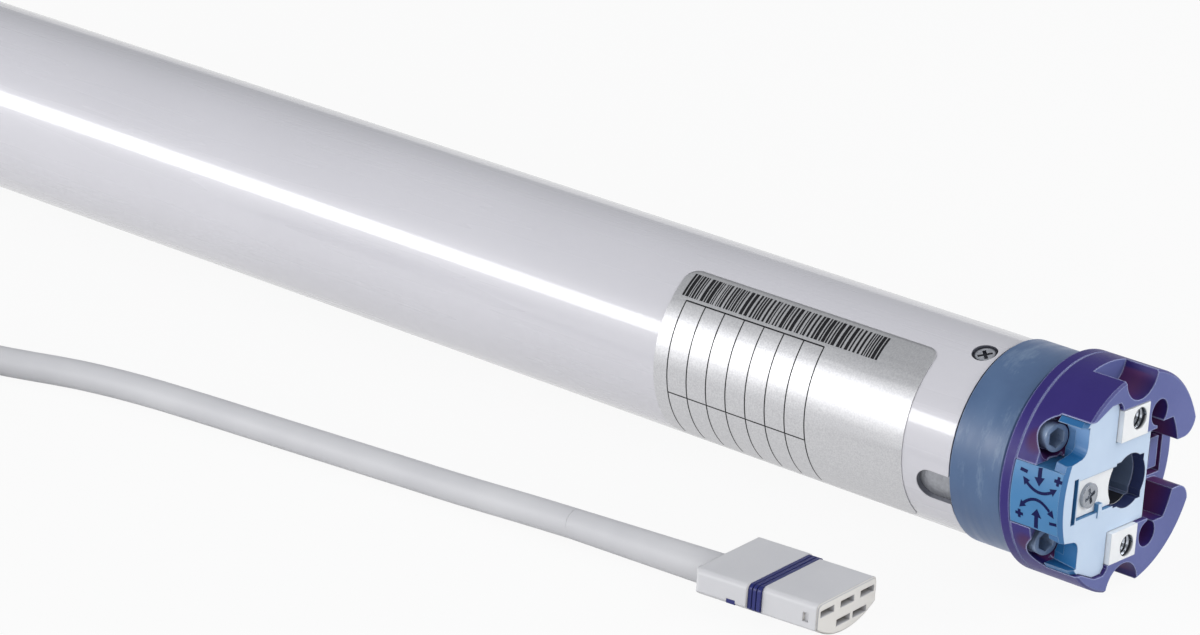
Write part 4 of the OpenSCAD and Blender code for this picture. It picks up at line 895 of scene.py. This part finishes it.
# Floor with four low walls, background and lamps: lengths in metres, power in watts
STAGE = dict(half=9.0, wall=2.4, gap=0.00005, grey=(0.6, 0.6, 0.6, 1), glow=(1, 1, 1, 1), glow_share=0.93)
SKY = dict(colour=(0.93, 0.96, 1.0, 1), strength=0.34)
LAMPS = [
    dict(name="strip", place=(-1.0, -1.25, 0.35), aim=(-0.2, 0.0, 0.0), size=(2.6, 0.33), power=22.0),
    dict(name="front", place=(1.3, 0.25, 0.7), aim=(0.0, 0.0, 0.0), size=(0.9, 0.9), power=10.5),
    dict(name="top", place=(-0.2, -0.2, 1.6), aim=(-0.2, 0.0, 0.0), size=(1.6, 1.2), power=1.2),
    dict(name="low", place=(0.5, -1.2, 0.2), aim=(-0.15, 0.0, -0.01), size=(1.6, 0.42), power=3.6),
    dict(name="rim", place=(0.3, 0.5, 0.5), aim=(-0.02, 0.0, 0.01), size=(0.35, 0.35), power=1.6),
]


def floor_white():
    """Matte for the light that falls on it, and mostly an even white where it is seen or reflected."""
    m = Mat("floor_white")
    rays = m.add("LightPath").outputs
    seen = rays["Is Camera Ray"]
    for other in ("Is Glossy Ray", "Is Transmission Ray"):
        seen = m.calc("MAXIMUM", seen, rays[other])
    matte = m.put(m.add("BsdfDiffuse"), {"Color": STAGE["grey"]}).outputs[0]
    glow = m.put(m.add("Emission"), {"Color": STAGE["glow"], "Strength": 1.0}).outputs[0]
    return m.output(m.put(m.add("MixShader"), {0: m.times(seen, STAGE["glow_share"]), 1: matte, 2: glow}))


def make_floor():
    half, z = STAGE["half"], FLOOR - STAGE["gap"]
    corners = [(-half, -half), (half, -half), (half, half), (-half, half)]
    verts = [(x, y, height) for height in (z, z + STAGE["wall"]) for x, y in corners]
    walls = [((k + 1) % 4, k, k + 4, (k + 1) % 4 + 4) for k in range(4)]
    data = bpy.data.meshes.new("floor")
    data.from_pydata(verts, [], [(0, 1, 2, 3)] + walls)
    data.materials.append(floor_white())
    floor = add_object("floor", data)


def make_sky():
    scene.world = bpy.data.worlds.new("studio")
    scene.world.use_nodes = True
    tree = scene.world.node_tree
    tree.nodes.clear()
    out = tree.nodes.new("ShaderNodeOutputWorld")
    sky = tree.nodes.new("ShaderNodeBackground")
    sky.inputs["Color"].default_value = SKY["colour"]
    sky.inputs["Strength"].default_value = SKY["strength"]
    tree.links.new(sky.outputs[0], out.inputs[0])


def make_lamp(name, place, aim, size, power):
    data = bpy.data.lights.new(name, "AREA")
    data.shape = "RECTANGLE"
    data.size, data.size_y = size
    data.energy = power
    back = (Vector(place) - Vector(aim)).normalized()
    lamp = add_object(name, data)
    lamp.matrix_world = aimed(Vector(place), level_right(back), back)
    lamp.visible_camera = False


make_floor()
make_sky()
for lamp_options in LAMPS:
    make_lamp(**lamp_options)

scene.view_settings.view_transform = "Standard"
